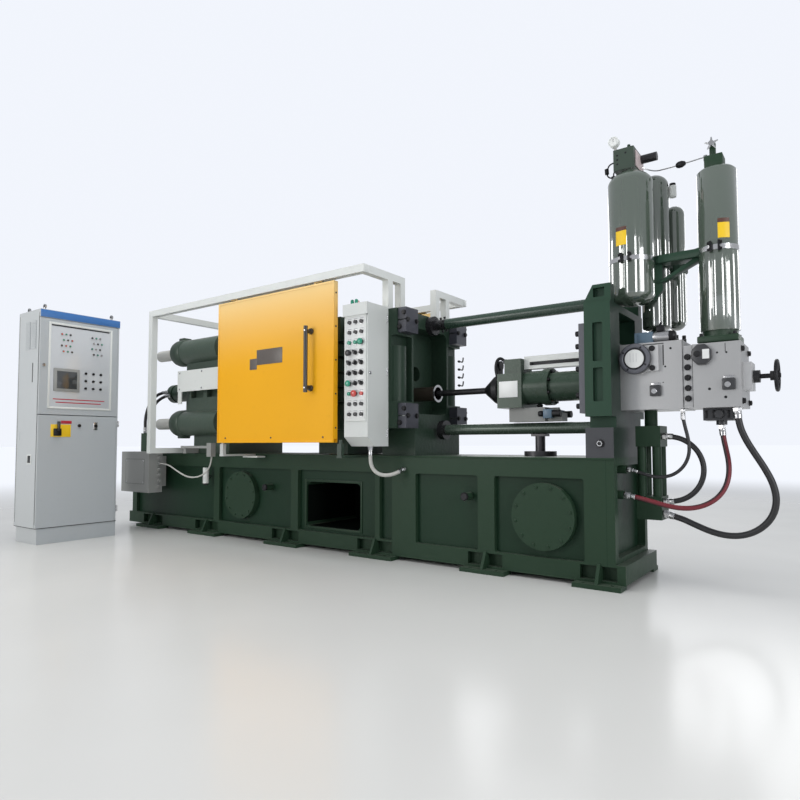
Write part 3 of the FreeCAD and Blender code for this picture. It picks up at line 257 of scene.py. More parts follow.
def enamel(name, colour, roughness=0.38, tone=0.10, peel=0.00025, casting=0.0, dust=0.12, coat=0.0,
           specular=0.4, shade=None, coatIor=1.5):
    # brushed or sprayed machine paint, with settled dust on top and handling marks
    finish = Finish(name, coat=coat, coatRoughness=0.03 if coatIor > 1.5 else 0.12, coatIor=coatIor,
                    specular=specular)
    broad = finish.noise(1.7, 2.0)
    fine = finish.noise(23.0, 4.0)
    darker = tuple(c * (1 - tone) for c in colour)
    lighter = tuple(min(c * (1 + tone), 1) for c in colour)
    body = finish.mix(broad, darker, lighter)
    body = finish.mix((fine - 0.62) * 0.6, body, tuple(c * 0.6 for c in colour))
    # shade, when given, paints light or shade into the colour; for the column it also gives the foot its
    # bare iron
    if shade:
        body = shade(finish, body)
    settled = (facing(finish)["Z"] > 0.8) * finish.noise(6.0, 5.0) * dust
    body = finish.mix(settled, body, (0.52, 0.50, 0.46))
    finish.set(colour=body, roughness=(broad - 0.5) * 0.16 + fine * 0.10 + (roughness - 0.05))
    finish.bump(finish.noise(240.0, 1.0), peel)
    if casting:
        finish.bump(finish.noise(38.0, 5.0), casting)
    return finish.material


def groundSteel(name, colour=(0.56, 0.56, 0.57), roughness=0.24, lay=(1.0, 90.0, 90.0), oil=0.15,
                metallic=1.0):
    # turned or ground steel; lay stretches the grinding marks along one axis
    finish = Finish(name, metallic=metallic)
    lines = finish.noise(14.0, 6.0, stretch=lay)
    stain = finish.noise(3.2, 5.0)
    tint = finish.mix(stain * oil * 2, colour, tuple(c * 0.62 for c in colour))
    finish.set(colour=finish.mix((lines - 0.5) * 0.5, tint, (0.25, 0.25, 0.26)),
               roughness=lines * 0.16 + stain * 0.12 + (roughness - 0.12))
    finish.bump(lines, 0.00015)
    return finish.material


def blackened(name, colour=(0.035, 0.034, 0.036), roughness=0.42, metallic=0.7):
    finish = Finish(name, metallic=metallic)
    grain = finish.noise(60.0, 5.0)
    wear = (finish.noise(9.0, 6.0) - 0.55).limited() * 1.2
    finish.set(colour=finish.mix(wear, colour, (0.16, 0.155, 0.15)),
               roughness=grain * 0.25 + (roughness - 0.12))
    finish.bump(grain, 0.0003)
    return finish.material


def moulded(name, colour, roughness=0.35, grain=0.00012, coat=0.0):
    finish = Finish(name, coat=coat, coatRoughness=0.08)
    fine = finish.noise(420.0, 2.0)
    broad = finish.noise(7.0, 3.0)
    finish.set(colour=finish.mix(broad * 0.5, colour, tuple(c * 0.82 for c in colour)),
               roughness=broad * 0.12 + (roughness - 0.06))
    finish.bump(fine, grain)
    return finish.material


def doorTopPaintedSheen(finish, body):
    # painted highlight: the sheet is painted paler towards its top, where it catches the light from above
    height = ((finish.axis("Z") - 1.25) * 1.8).limited()
    return finish.mix(height * height * 0.9, body, (0.86, 0.62, 0.28))


def recessPaintedShade(finish, body):
    # painted shade darkens the sunk side panels of the bases and their sunk end panel
    depth = finish.axis("Y").maths("ABSOLUTE", finish.axis("Y"))
    sunk = (depth < 0.2768) * (depth > 0.2700) + (finish.axis("X") > 1.3390) * (finish.axis("X") < 1.3420)
    return finish.mix((sunk * 0.7).limited(), body, (0.006, 0.026, 0.013))


def sidePaintedLight(finish, body):
    # painted light: the flanks of the cabinet, facing -Y and +Y, are painted a shade lighter than its
    # doors
    side = facing(finish)["Y"]
    return finish.mix((side * side * 0.5).limited(), body, (0.52, 0.53, 0.52))


def footIronAndEndShade(finish, body):
    # painted shade darkens the column's shot end face, which sits under the bottles and the manifold, and
    # its foot is bare iron in front
    parts = facing(finish)
    iron = (finish.axis("Z") < 0.8395) * (1 - parts["X"].limited())
    body = finish.mix(iron, body, (0.060, 0.062, 0.068))
    return finish.mix(((parts["X"] - 0.2) * 0.9).limited(), body, (0.005, 0.011, 0.008))


def redHose(name):
    # black outer rubber with one dark red side
    finish = Finish(name)
    side = facing(finish)["X"]
    grain = finish.noise(300.0, 2.0)
    finish.set(colour=finish.mix(((side + 0.15) * 3).limited(), (0.020, 0.012, 0.014),
                                 (0.15, 0.012, 0.020)),
               roughness=grain * 0.2 + 0.36)
    finish.bump(grain, 0.0003)
    return finish.material


def zoned(name, first, *zones, roughness=0.32):
    # one casting with parts of other finishes: zones are (mask, colour, metallic) over the first
    finish = Finish(name)
    grain = finish.noise(90.0, 5.0)
    colour, metallic = finish.mix(grain * 0.3, first[0], tuple(c * 0.75 for c in first[0])), first[1]
    for mask, tint, metal in zones:
        mask = mask(finish)
        colour = finish.mix(mask, colour, tint)
        metallic = mask * (metal - metallic) + metallic if isinstance(metallic, (int, float)) else (
            metallic * (1 - mask) + mask * metal)
    finish.set(colour=colour, metallic=metallic, roughness=grain * 0.18 + (roughness - 0.09))
    finish.bump(grain, 0.0002)
    return finish.material


def mixedFinishes():
    black = (0.022, 0.022, 0.024)
    return {
        "valves": zoned("valveMix", ((0.055, 0.056, 0.060), 0.4),
                        (lambda f: f.axis("Z") > 1.288, (0.10, 0.155, 0.21), 0.0),
                        (lambda f: (f.axis("Z") > 1.288) * (f.axis("X") > 1.545), (0.6, 0.6, 0.6), 1.0),
                        (lambda f: (f.axis("Z") > 1.288) * (f.axis("X") > 1.625), black, 0.3),
                        (lambda f: (f.axis("Y") > -0.171) * (f.axis("Y") < -0.1) * (f.axis("Z") < 1.288),
                         (0.55, 0.55, 0.55), 0.7)),
        "sleeve": zoned("sleeveMix", ((0.13, 0.105, 0.085), 0.8),
                        (lambda f: f.axis("X") > 0.0855, (0.6, 0.6, 0.58), 1.0)),
        "spindle": zoned("spindleMix", ((0.62, 0.62, 0.62), 0.6),
                         (lambda f: f.axis("X") > 2.0015, black, 0.3)),
        "bottleHead": zoned("headMix", ((0.040, 0.060, 0.045), 0.0),
                            (lambda f: f.axis("X") > 1.4625, black, 0.3),
                            (lambda f: f.axis("Z") > 2.4045, (0.52, 0.52, 0.50), 0.6)),
        "guides": zoned("guideMix", ((0.55, 0.56, 0.54), 0.1),
                        (lambda f: f.axis("X") > -1.0, (0.03, 0.05, 0.035), 0.0)),
        "bars": zoned("barMix", ((0.66, 0.66, 0.67), 1.0),
                      (lambda f: f.axis("X") < -2.45, (0.45, 0.45, 0.42), 0.3),
                      roughness=0.22),
        "linkBars": zoned("linkBarMix", ((0.024, 0.048, 0.034), 0.0),
                          (lambda f: f.axis("Z") < 1.2, (0.060, 0.085, 0.066), 0.2),
                          (lambda f: f.axis("X") > 1.165, black, 0.3),
                          (lambda f: f.axis("X") < 0.165, black, 0.3),
                          roughness=0.26),
    }


finishes = {
    "green": enamel("machineGreen", (0.020, 0.044, 0.025), 0.42, casting=0.0006, specular=0.18),
    # painted shade in the sunk panels of the bases
    "baseGreen": enamel("baseGreen", (0.020, 0.044, 0.025), 0.42, casting=0.0006, specular=0.18,
                        shade=recessPaintedShade),
    # painted light: the shot end's green is the machine green painted lighter, standing in for the
    # highlight along the barrel
    "shotGreenPaintedLight": enamel("shotGreenPaintedLight", (0.034, 0.058, 0.040), 0.28, casting=0.0003, specular=0.3),
    # painted shade on the column's shot end face; its foot is bare iron in front
    "columnGreen": enamel("columnGreen", (0.022, 0.054, 0.034), 0.38, specular=0.2, shade=footIronAndEndShade),
    "castGreen": enamel("castGreen", (0.020, 0.040, 0.026), 0.42, casting=0.0022, specular=0.25),
    # painted light: the tail platen's green is the cast green painted lighter, standing in for the light
    # on its drums
    "drumGreenPaintedLight": enamel("drumGreenPaintedLight", (0.050, 0.074, 0.056), 0.34, casting=0.0014, specular=0.35),
    "bottleGreen": enamel("bottleGreen", (0.058, 0.080, 0.060), 0.14, tone=0.04, peel=0.00003, dust=0.04,
                          coat=1.0,
                          specular=0.5, coatIor=2.1),
    # painted highlight towards the top of the doors
    "amber": enamel("doorAmber", (0.80, 0.385, 0.006), 0.36, tone=0.03, dust=0.03, specular=0.2,
                    shade=doorTopPaintedSheen),
    "paleGrey": enamel("framePaleGrey", (0.66, 0.68, 0.66), 0.36, tone=0.03, dust=0.05),
    "tubeGrey": enamel("tubeGrey", (0.47, 0.47, 0.44), 0.30, tone=0.06, dust=0.08, specular=0.5),
    "warmGrey": enamel("boxWarmGrey", (0.58, 0.60, 0.585), 0.40, tone=0.03, dust=0.05),
    # painted light on the cabinet's flanks
    "cabinetGrey": enamel("cabinetGrey", (0.42, 0.45, 0.47), 0.42, tone=0.03, dust=0.05, shade=sidePaintedLight),
    # painted shade: the box under the manifold is painted darker than the pale box grey, standing in for
    # the shade it sits in
    "lowBoxPaintedShade": enamel("lowBoxPaintedShade", (0.24, 0.245, 0.235), 0.40, tone=0.04, dust=0.05),
    "boxGrey": enamel("junctionGrey", (0.27, 0.275, 0.265), 0.42, tone=0.05),
    "violetGrey": enamel("plateVioletGrey", (0.105, 0.108, 0.125), 0.42, tone=0.06),
    "clampGrey": blackened("clampGrey", (0.055, 0.057, 0.072), 0.40, metallic=0.35),
    "blueGrey": enamel("valveBlueGrey", (0.10, 0.155, 0.21), 0.35, tone=0.06),
    "pinkGrey": enamel("platePinkGrey", (0.48, 0.40, 0.40), 0.45, tone=0.05),
    "darkCast": blackened("darkCastIron", (0.055, 0.056, 0.060), 0.38, metallic=0.45),
    "steelDark": blackened("darkSteel", (0.075, 0.072, 0.078), 0.40),
    "black": blackened("blackOxide", (0.022, 0.022, 0.024)),
    "ground": groundSteel("groundSteel"),
    "milled": groundSteel("milledSteel", (0.50, 0.50, 0.50), 0.34, lay=(50.0, 50.0, 3.0), oil=0.14,
                          metallic=0.8),
    "tieBar": groundSteel("chromedBar", (0.66, 0.66, 0.67), 0.16, lay=(1.0, 60.0, 60.0), oil=0.05),
    "rubber": moulded("blackRubber", (0.016, 0.016, 0.018), 0.46, 0.0003),
    "redRubber": redHose("darkRedRubber"),
    "paleCable": moulded("paleCable", (0.50, 0.50, 0.47), 0.5),
    "blackPlastic": moulded("blackPlastic", (0.020, 0.020, 0.022), 0.30, coat=0.3),
    "greenLens": moulded("greenLens", (0.012, 0.26, 0.16), 0.18, 0.00002, coat=0.8),
    "redLens": moulded("redLens", (0.50, 0.045, 0.035), 0.20, 0.00002, coat=0.8),
    "whiteFace": moulded("whiteFace", (0.72, 0.73, 0.72), 0.32, 0.00003),
    "acrylic": moulded("clearPanel", (0.55, 0.575, 0.60), 0.14, 0.00001, coat=0.6),
    "screen": moulded("screenGlass", (0.055, 0.060, 0.062), 0.10, 0.00001, coat=0.8),
    "blueStrip": enamel("headerBlue", (0.045, 0.16, 0.42), 0.36, tone=0.03, dust=0.03),
    "yellowPlate": enamel("plateYellow", (0.80, 0.52, 0.02), 0.35, tone=0.03, dust=0.0),
    "brownPlate": enamel("plateBrown", (0.10, 0.045, 0.035), 0.35, tone=0.03, dust=0.0),
    "redPlate": enamel("plateRed", (0.42, 0.02, 0.04), 0.35, tone=0.03, dust=0.0),
    "darkPlate": enamel("plateDark", (0.10, 0.085, 0.075), 0.32, tone=0.05, dust=0.0),
    # painted shade: a near-black finish for the hollow inside the base's window
    "hollowPaintedShade": enamel("hollowPaintedShade", (0.003, 0.005, 0.004), 0.6, dust=0.0, specular=0.05),
    "darkLine": enamel("darkLine", (0.05, 0.05, 0.05), 0.5, specular=0.2),
    "greyLine": enamel("greyLine", (0.40, 0.41, 0.42), 0.4),
}
finishes.update(mixedFinishes())
print("finishes:", len(finishes))

coats = {  # which CAD parts take which finish
    "green": ("cylinder_unit", "base_feet"),
    "baseGreen": ("clamp_base", "injection_base"),
    "shotGreenPaintedLight": ("cylinder_head", "shot_cylinder"),
    "columnGreen": ("column", "column_foot"),
    "castGreen": ("fixed_platen", "moving_platen", "clamp_cylinder"),
    "drumGreenPaintedLight": ("tail_platen",),
    "amber": ("front_door", "rear_door"),
    "paleGrey": ("top_rails", "left_guard_frame", "platen_posts", "tail_side_covers", "stroke_box"),
    "lowBoxPaintedShade": ("under_manifold",),
    "warmGrey": ("control_box",),
    "cabinetGrey": ("cabinet_body", "cabinet_lower_door", "cabinet_upper_door"),
    "boxGrey": ("junction_box", "limit_switch"),
    "violetGrey": ("mounting_plate",),
    "clampGrey": ("tie_bar_clamps",),
    "steelDark": ("support_jack", "crosshead", "tail_link_upper", "tail_link_lower",
                  "front_link_upper", "front_link_lower", "cross_link_upper", "cross_link_lower"),
    "black": ("plunger", "throttle_handwheel"),
    "ground": ("star_handle",),
    "sleeve": ("shot_sleeve",),
    "valves": ("manifold_valves",),
    "spindle": ("spindle_block",),
    "bottleHead": ("bottle_valve_block",),
    "guides": ("door_guides",),
    "milled": ("valve_manifold",),
    "bars": ("tie_bars",),
    "linkBars": ("link_bars",),
    "blackPlastic": ("front_door_handle",),
}
for word, members in coats.items():
    for member in members:
        part = nodes[member]
        part.data.materials.clear()
        part.data.materials.append(finishes[word])


# shapes
def bentLine(name, points, radius, roundness):
    # a round tube drawn as a smooth curve through points
    curve = bpy.data.curves.new(name, "CURVE")
    curve.dimensions = "3D"
    curve.bevel_depth = radius
    curve.bevel_resolution = roundness
    curve.use_fill_caps = True
    line = curve.splines.new("NURBS")
    line.points.add(len(points) - 1)
    for point, at in zip(line.points, points):
        point.co = (*at, 1.0)
    line.order_u = 3
    line.use_endpoint_u = True
    return curve


class Extent:
    # the corners of a frame part, by the side they are on
    def __init__(self, name):
        low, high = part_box(name)
        self.left, self.front, self.bottom = low
        self.right, self.back, self.top = high
        self.middle = Vector([(a + b) / 2 for a, b in zip(low, high)])


class Solid:
    # shapes of several finishes gathered in one mesh
    def __init__(self, word):
        self.mesh = bmesh.new()
        self.words = []
        self.use(word)

    def use(self, word):
        if word not in self.words:
            self.words.append(word)
        self.at = self.words.index(word)
        return self

    def close(self, before, edge=0.0):
        fresh = [face for face in self.mesh.faces if face not in before]
        bmesh.ops.recalc_face_normals(self.mesh, faces=fresh)
        for face in fresh:
            face.material_index = self.at
        if edge:
            sharp = [line for line in {e for face in fresh for e in face.edges}
                     if line.is_manifold and line.calc_face_angle(0) > 0.6]
            made = bmesh.ops.bevel(self.mesh, geom=sharp, offset=edge, segments=2, profile=0.5,
                                   affect="EDGES", clamp_overlap=True)
            for face in made["faces"]:
                face.material_index = self.at
        return self

    def box(self, low, high, edge=0.0015):
        before = set(self.mesh.faces)
        made = bmesh.ops.create_cube(self.mesh, size=1)
        for vert in made["verts"]:
            vert.co = Vector([a + (b - a) * (c + 0.5) for a, b, c in zip(low, high, vert.co)])
        return self.close(before, edge)

    def prism(self, outline, axis, low, high, edge=0.0015):
        # the outline's two coordinates follow the other two axes in order
        before = set(self.mesh.faces)
        rings = []
        for level in (low, high):
            ring = []
            for first, second in outline:
                at = {"x": (level, first, second), "y": (first, level, second),
                      "z": (first, second, level)}[axis]
                ring.append(self.mesh.verts.new(at))
            rings.append(ring)
        self.mesh.faces.new(rings[0])
        self.mesh.faces.new(rings[1][::-1])
        for n in range(len(outline)):
            m = (n + 1) % len(outline)
            self.mesh.faces.new((rings[0][n], rings[1][n], rings[1][m], rings[0][m]))
        return self.close(before, edge)

    def lathe(self, centre, axis, profile, sides=40):
        # profile: (distance along the axis, radius), from one end to the other
        before = set(self.mesh.faces)
        axis = Vector(axis).normalized()
        across = axis.orthogonal().normalized()
        up = axis.cross(across)
        rings = []
        for along, radius in profile:
            foot = Vector(centre) + axis * along
            if radius == 0:
                rings.append([self.mesh.verts.new(foot)])
                continue
            turns = [2 * math.pi * n / sides for n in range(sides)]
            rings.append([self.mesh.verts.new(foot + (across * math.cos(t) + up * math.sin(t)) * radius)
                          for t in turns])
        for one, two in zip(rings, rings[1:]):
            for n in range(sides):
                m = (n + 1) % sides
                corners = [one[n % len(one)], two[n % len(two)], two[m % len(two)], one[m % len(one)]]
                self.mesh.faces.new(list(dict.fromkeys(corners)))
        for ring in (rings[0], rings[-1]):
            if len(ring) > 1:
                self.mesh.faces.new(ring)
        return self.close(before)

    def rod(self, start, end, radius, sides=24, edge=0.001):
        along = Vector(end) - Vector(start)
        tall = along.length
        edge = min(edge, radius / 3, tall / 3)
        return self.lathe(start, along, ((0, radius - edge), (edge, radius), (tall - edge, radius),
                                         (tall, radius - edge)), sides)

    def pipe(self, points, radius):
        # a bent tube through points, its corners rounded by a smooth curve
        holder = bpy.data.objects.new("bend", bentLine("bend", points, radius, 3))
        mesh = bpy.data.meshes.new_from_object(holder)
        before = set(self.mesh.faces)
        self.mesh.from_mesh(mesh)
        fresh = [face for face in self.mesh.faces if face not in before]
        bmesh.ops.remove_doubles(self.mesh, verts=list({v for f in fresh for v in f.verts}), dist=1e-6)
        bpy.data.objects.remove(holder)
        bpy.data.meshes.remove(mesh)
        return self.close(before)

    def hollow(self, low, high, wall, depth, facing, edge=0.001):
        # a raised frame of four bars around a rectangle; facing is the axis it stands on
        flat = [n for n in range(3) if n != facing]
        for axis in flat:
            other = flat[1] if axis == flat[0] else flat[0]
            for end in (0, 1):
                one, two = list(low), list(high)
                one[facing], two[facing] = sorted((low[facing], low[facing] + depth))
                if end:
                    one[axis] = high[axis] - wall
                else:
                    two[axis] = low[axis] + wall
                if axis == flat[1]:
                    one[other] += wall
                    two[other] -= wall
                self.box(one, two, edge)
        return self

    def done(self, name, body="machine", slot="steel_dark", sharp=35):
        mesh = bpy.data.meshes.new(name)
        self.mesh.to_mesh(mesh)
        self.mesh.free()
        for word in self.words:
            mesh.materials.append(finishes[word])
        for face in mesh.polygons:
            face.use_smooth = True
        mesh.set_sharp_from_angle(angle=math.radians(sharp))
        return addPiece(name, mesh, body)


# repeated fasteners, knobs and lamps, as one node tree
class Tree:
    def __init__(self, name, inputs):
        self.group = bpy.data.node_groups.new(name, "GeometryNodeTree")
        self.group.interface.new_socket("Geometry", in_out="INPUT", socket_type="NodeSocketGeometry")
        self.keys = {}
        for title, (kind, value) in inputs.items():
            made = self.group.interface.new_socket(title, in_out="INPUT", socket_type="NodeSocket" + kind)
            if value is not None:
                made.default_value = value
            self.keys[title] = made.identifier
        self.group.interface.new_socket("Geometry", in_out="OUTPUT", socket_type="NodeSocketGeometry")
        self.source = self.group.nodes.new("NodeGroupInput")
        self.sink = self.group.nodes.new("NodeGroupOutput")

    def value(self, title):
        return self.source.outputs[title]

    def node(self, kind, settings=None, **values):
        node = self.group.nodes.new(kind)
        for word, value in (settings or {}).items():
            setattr(node, word, value)
        for word, value in values.items():
            slot = node.inputs[word.replace("_", " ")]
            if isinstance(value, bpy.types.NodeSocket):
                self.group.links.new(value, slot)
            else:
                slot.default_value = value
        return node

    def times(self, first, second):
        made = self.node("ShaderNodeMath", {"operation": "MULTIPLY"})
        for slot, value in zip(made.inputs, (first, second)):
            if isinstance(value, bpy.types.NodeSocket):
                self.group.links.new(value, slot)
            else:
                slot.default_value = value
        return made.outputs[0]

    def disc(self, layer, sides, radius, bottom, height, taper):
        # one turned layer of a stud, numbered so that its finish can be set after realizing
        cone = self.node("GeometryNodeMeshCone", {"fill_type": "NGON"}, Vertices=sides,
                         Radius_Top=self.times(radius, taper), Radius_Bottom=radius, Depth=height)
        lift = self.node("ShaderNodeCombineXYZ", Z=bottom)
        moved = self.node("GeometryNodeTransform", Geometry=cone.outputs["Mesh"],
                          Translation=lift.outputs[0])
        marked = self.node("GeometryNodeStoreNamedAttribute", {"data_type": "INT", "domain": "FACE"},
                           Geometry=moved.outputs[0], Name="layer", Value=layer)
        return marked.outputs[0]

    def finish(self, geometry, titles):
        last = self.node("GeometryNodeRealizeInstances", Geometry=geometry).outputs[0]
        for layer, title in enumerate(titles):
            number = self.node("GeometryNodeInputNamedAttribute", {"data_type": "INT"}, Name="layer")
            same = self.node("FunctionNodeCompare", {"data_type": "INT", "operation": "EQUAL"})
            self.group.links.new(number.outputs["Attribute"], same.inputs[2])
            same.inputs[3].default_value = layer
            last = self.node("GeometryNodeSetMaterial", Geometry=last, Selection=same.outputs[0],
                             Material=self.value(title)).outputs[0]
        self.group.links.new(last, self.sink.inputs[0])


def makeStudTree():
    tree = Tree("stackedStuds", {
        "Sides": ("Int", 6), "Radius": ("Float", 0.01), "Height": ("Float", 0.008),
        "Collar": ("Float", 1.35),
        "Cap": ("Float", 0.6), "Collar finish": ("Material", None), "Head finish": ("Material", None),
        "Cap finish": ("Material", None)})
    radius, height = tree.value("Radius"), tree.value("Height")
    collarRadius = tree.times(radius, tree.value("Collar"))
    collar = tree.disc(0, 20, collarRadius, 0.0, tree.times(height, 0.22), 0.96)
    head = tree.disc(1, tree.value("Sides"), radius, 0.0, height, 0.93)
    cap = tree.disc(2, 12, tree.times(radius, tree.value("Cap")), height, tree.times(height, 0.12), 0.8)
    joined = tree.node("GeometryNodeJoinGeometry")
    for part in (collar, head, cap):
        tree.group.links.new(part, joined.inputs[0])
    facing = tree.node("GeometryNodeInputNamedAttribute", {"data_type": "FLOAT_VECTOR"}, Name="facing")
    turned = tree.node("FunctionNodeAlignRotationToVector", {"axis": "Z"},
                       Vector=facing.outputs["Attribute"])
    placed = tree.node("GeometryNodeInstanceOnPoints", Points=tree.source.outputs["Geometry"],
                       Instance=joined.outputs[0], Rotation=turned.outputs[0])
    tree.finish(placed.outputs[0], ("Collar finish", "Head finish", "Cap finish"))
    return tree


def makeLouvreTree():
    tree = Tree("louvreRow", {"Count": ("Int", 8), "Pitch": ("Float", 0.02), "Width": ("Float", 0.1),
                              "Finish": ("Material", None)})
    step = tree.node("ShaderNodeCombineXYZ", Z=tree.value("Pitch"))
    line = tree.node("GeometryNodeMeshLine", Count=tree.value("Count"), Offset=step.outputs[0])
    size = tree.node("ShaderNodeCombineXYZ", X=tree.value("Width"),
                     Y=tree.times(tree.value("Pitch"), 0.12),
                     Z=tree.times(tree.value("Pitch"), 0.75))
    blade = tree.node("GeometryNodeMeshCube", Size=size.outputs[0])
    leant = tree.node("GeometryNodeTransform", Geometry=blade.outputs["Mesh"], Rotation=(0.42, 0, 0))
    row = tree.node("GeometryNodeInstanceOnPoints", Points=line.outputs[0], Instance=leant.outputs[0])
    put = tree.node("GeometryNodeInstanceOnPoints", Points=tree.source.outputs["Geometry"],
                    Instance=row.outputs[0])
    solid = tree.node("GeometryNodeRealizeInstances", Geometry=put.outputs[0])
    coated = tree.node("GeometryNodeSetMaterial", Geometry=solid.outputs[0],
                       Material=tree.value("Finish"))
    tree.group.links.new(coated.outputs[0], tree.sink.inputs[0])
    return tree


def grow(name, tree, points, values, body, facing=None, sharp=40):
    # bakes a tree's result on a set of points into one plain mesh
    mesh = bpy.data.meshes.new(name)
    mesh.from_pydata(points, [], [])
    if facing:
        ways = mesh.attributes.new("facing", "FLOAT_VECTOR", "POINT")
        ways.data.foreach_set("vector", [c for way in facing for c in way])
    seed = linked(name + "_seed", mesh)
    modifier = seed.modifiers.new("growth", "NODES")
    modifier.node_group = tree.group
    for title, value in values.items():
        modifier[tree.keys[title]] = value
    bpy.context.view_layer.update()
    ready = seed.evaluated_get(bpy.context.evaluated_depsgraph_get())
    baked = bpy.data.meshes.new_from_object(ready)
    seed.modifiers.clear()
    bpy.data.objects.remove(seed)
    for extra in ("layer", "facing"):
        if extra in baked.attributes:
            baked.attributes.remove(baked.attributes[extra])
    for face in baked.polygons:
        face.use_smooth = True
    baked.set_sharp_from_angle(angle=math.radians(sharp))
    return addPiece(name, baked, body)


ways = {"+x": (1, 0, 0), "-x": (-1, 0, 0), "+y": (0, 1, 0), "-y": (0, -1, 0), "+z": (0, 0, 1),
        "-z": (0, 0, -1)}
studTree = makeStudTree()
louvreTree = makeLouvreTree()


def studs(name, spots, radius, height, body="machine", sides=6, collar=1.35, cap=0.6,
          words=("black", "black", "black")):
    # spots: (way, place) pairs
    return grow(name, studTree, [place for way, place in spots], {
        "Sides": sides, "Radius": radius, "Height": height, "Collar": collar, "Cap": cap,
        "Collar finish": finishes[words[0]], "Head finish": finishes[words[1]],
        "Cap finish": finishes[words[2]]}, body, [ways[way] for way, place in spots])


barPlaces = [(y, z) for y in (-0.31, 0.31) for z in (0.937, 1.557)]  # the four tie bars
clampAxis = 1.247
shotAxis = 1.100


def layer(face, side, thick, start=0.0):
    # a thin layer on a face that looks to one side, as its low and high coordinate
    return sorted((face + side * start, face + side * thick))


def ring(centre, axis, radius, count, start=0.0):
    # places spread evenly around a centre, square to one axis
    spots = []
    for n in range(count):
        turn = start + 2 * math.pi * n / count
        one, two = math.cos(turn) * radius, math.sin(turn) * radius
        step = {"x": (0, one, two), "y": (one, 0, two), "z": (one, two, 0)}[axis]
        spots.append(tuple(Vector(centre) + Vector(step)))
    return spots


# the gas bottles and the tower, turned smooth
bottles = {  # name: centre x, y, radius, low, high, bottom dome, top dome
    "large": (1.424, -0.050, 0.121, 1.518, 2.280, 0.062, 0.078),
    "slim": (1.506, 0.140, 0.078, 1.392, 2.305, 0.030, 0.070),
    "small": (1.585, 0.260, 0.056, 1.410, 2.145, 0.054, 0.054),
}
towerTube = {"x": 1.855, "radius": 0.095, "high": 2.195}


def bottleProfile(radius, low, high, bottom, top, steps=10):
    turns = [math.pi / 2 * n / steps for n in range(steps + 1)]
    lower = [(low + bottom * (1 - math.cos(t)), radius * math.sin(t)) for t in turns]
    upper = [(high - top * (1 - math.sin(t)), radius * math.cos(t)) for t in turns]
    lower[0], upper[-1] = (low, 0), (high, 0)
    return lower + upper


def makeBottles():
    foot = Extent("valve_manifold")
    for names, members in (("large_bottle", ("large",)), ("rear_bottles", ("slim", "small"))):
        solid = Solid("bottleGreen")
        for member in members:
            x, y, radius, low, high, bottom, top = bottles[member]
            solid.use("bottleGreen").lathe((x, y, 0), (0, 0, 1),
                                           bottleProfile(radius, low, high, bottom, top), 96)
        if names == "large_bottle":
            x, y, radius, low, high, bottom, top = bottles["large"]
            solid.lathe((x, y, 0), (0, 0, 1), ((high - 0.02, 0.046), (high + 0.004, 0.046)), 48)
        else:
            x, y, radius, low, high, bottom, top = bottles["slim"]
            solid.use("green")
            solid.box((x - 0.06, foot.back - 0.097, foot.top), (x + 0.06, foot.back, foot.top + 0.04),
                      0.003)
            solid.rod((x, y, foot.top + 0.03), (x, y, low + 0.008), 0.036)
        piece = solid.done(names + "_shell", slot="bottle_green", sharp=50)
        mirrored.objects.link(piece)
        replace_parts(piece, names)
    tower = Extent("piston_accumulator")
    x, radius, high = towerTube["x"], towerTube["radius"], towerTube["high"]
    solid = Solid("bottleGreen").lathe((x, 0, 0), (0, 0, 1), (
        (1.336, 0), (1.336, radius - 0.002), (1.340, radius), (high - 0.012, radius),
        (high, radius - 0.012),
        (high, 0)), 96)
    solid.use("green").box((x - 0.096, -0.096, 1.274), (x + 0.096, 0.096, 1.306), 0.003)
    solid.lathe((x, 0, 0), (0, 0, 1), ((tower.bottom, 0.084), (1.34, 0.084)), 64)
    solid.box((x - 0.05, -0.048, high), (x + 0.038, 0.048, high + 0.074), 0.003)
    solid.box((1.827, -0.016, high + 0.074), (x, 0.016, tower.top), 0.002)
    piece = solid.done("tower_shell", slot="bottle_green", sharp=50)
    mirrored.objects.link(piece)
    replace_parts(piece, "piston_accumulator")
    corners = [(x + sx * 0.078, sy * 0.078, 1.306) for sx in (-1, 1) for sy in (-1, 1)]
    studs("tower_flange_bolts", [("+z", at) for at in corners], 0.010, 0.016, sides=12)


bandClamps = {"low": 1.750, "tall": 0.026, "wall": 0.0025, "bolt": 0.008}


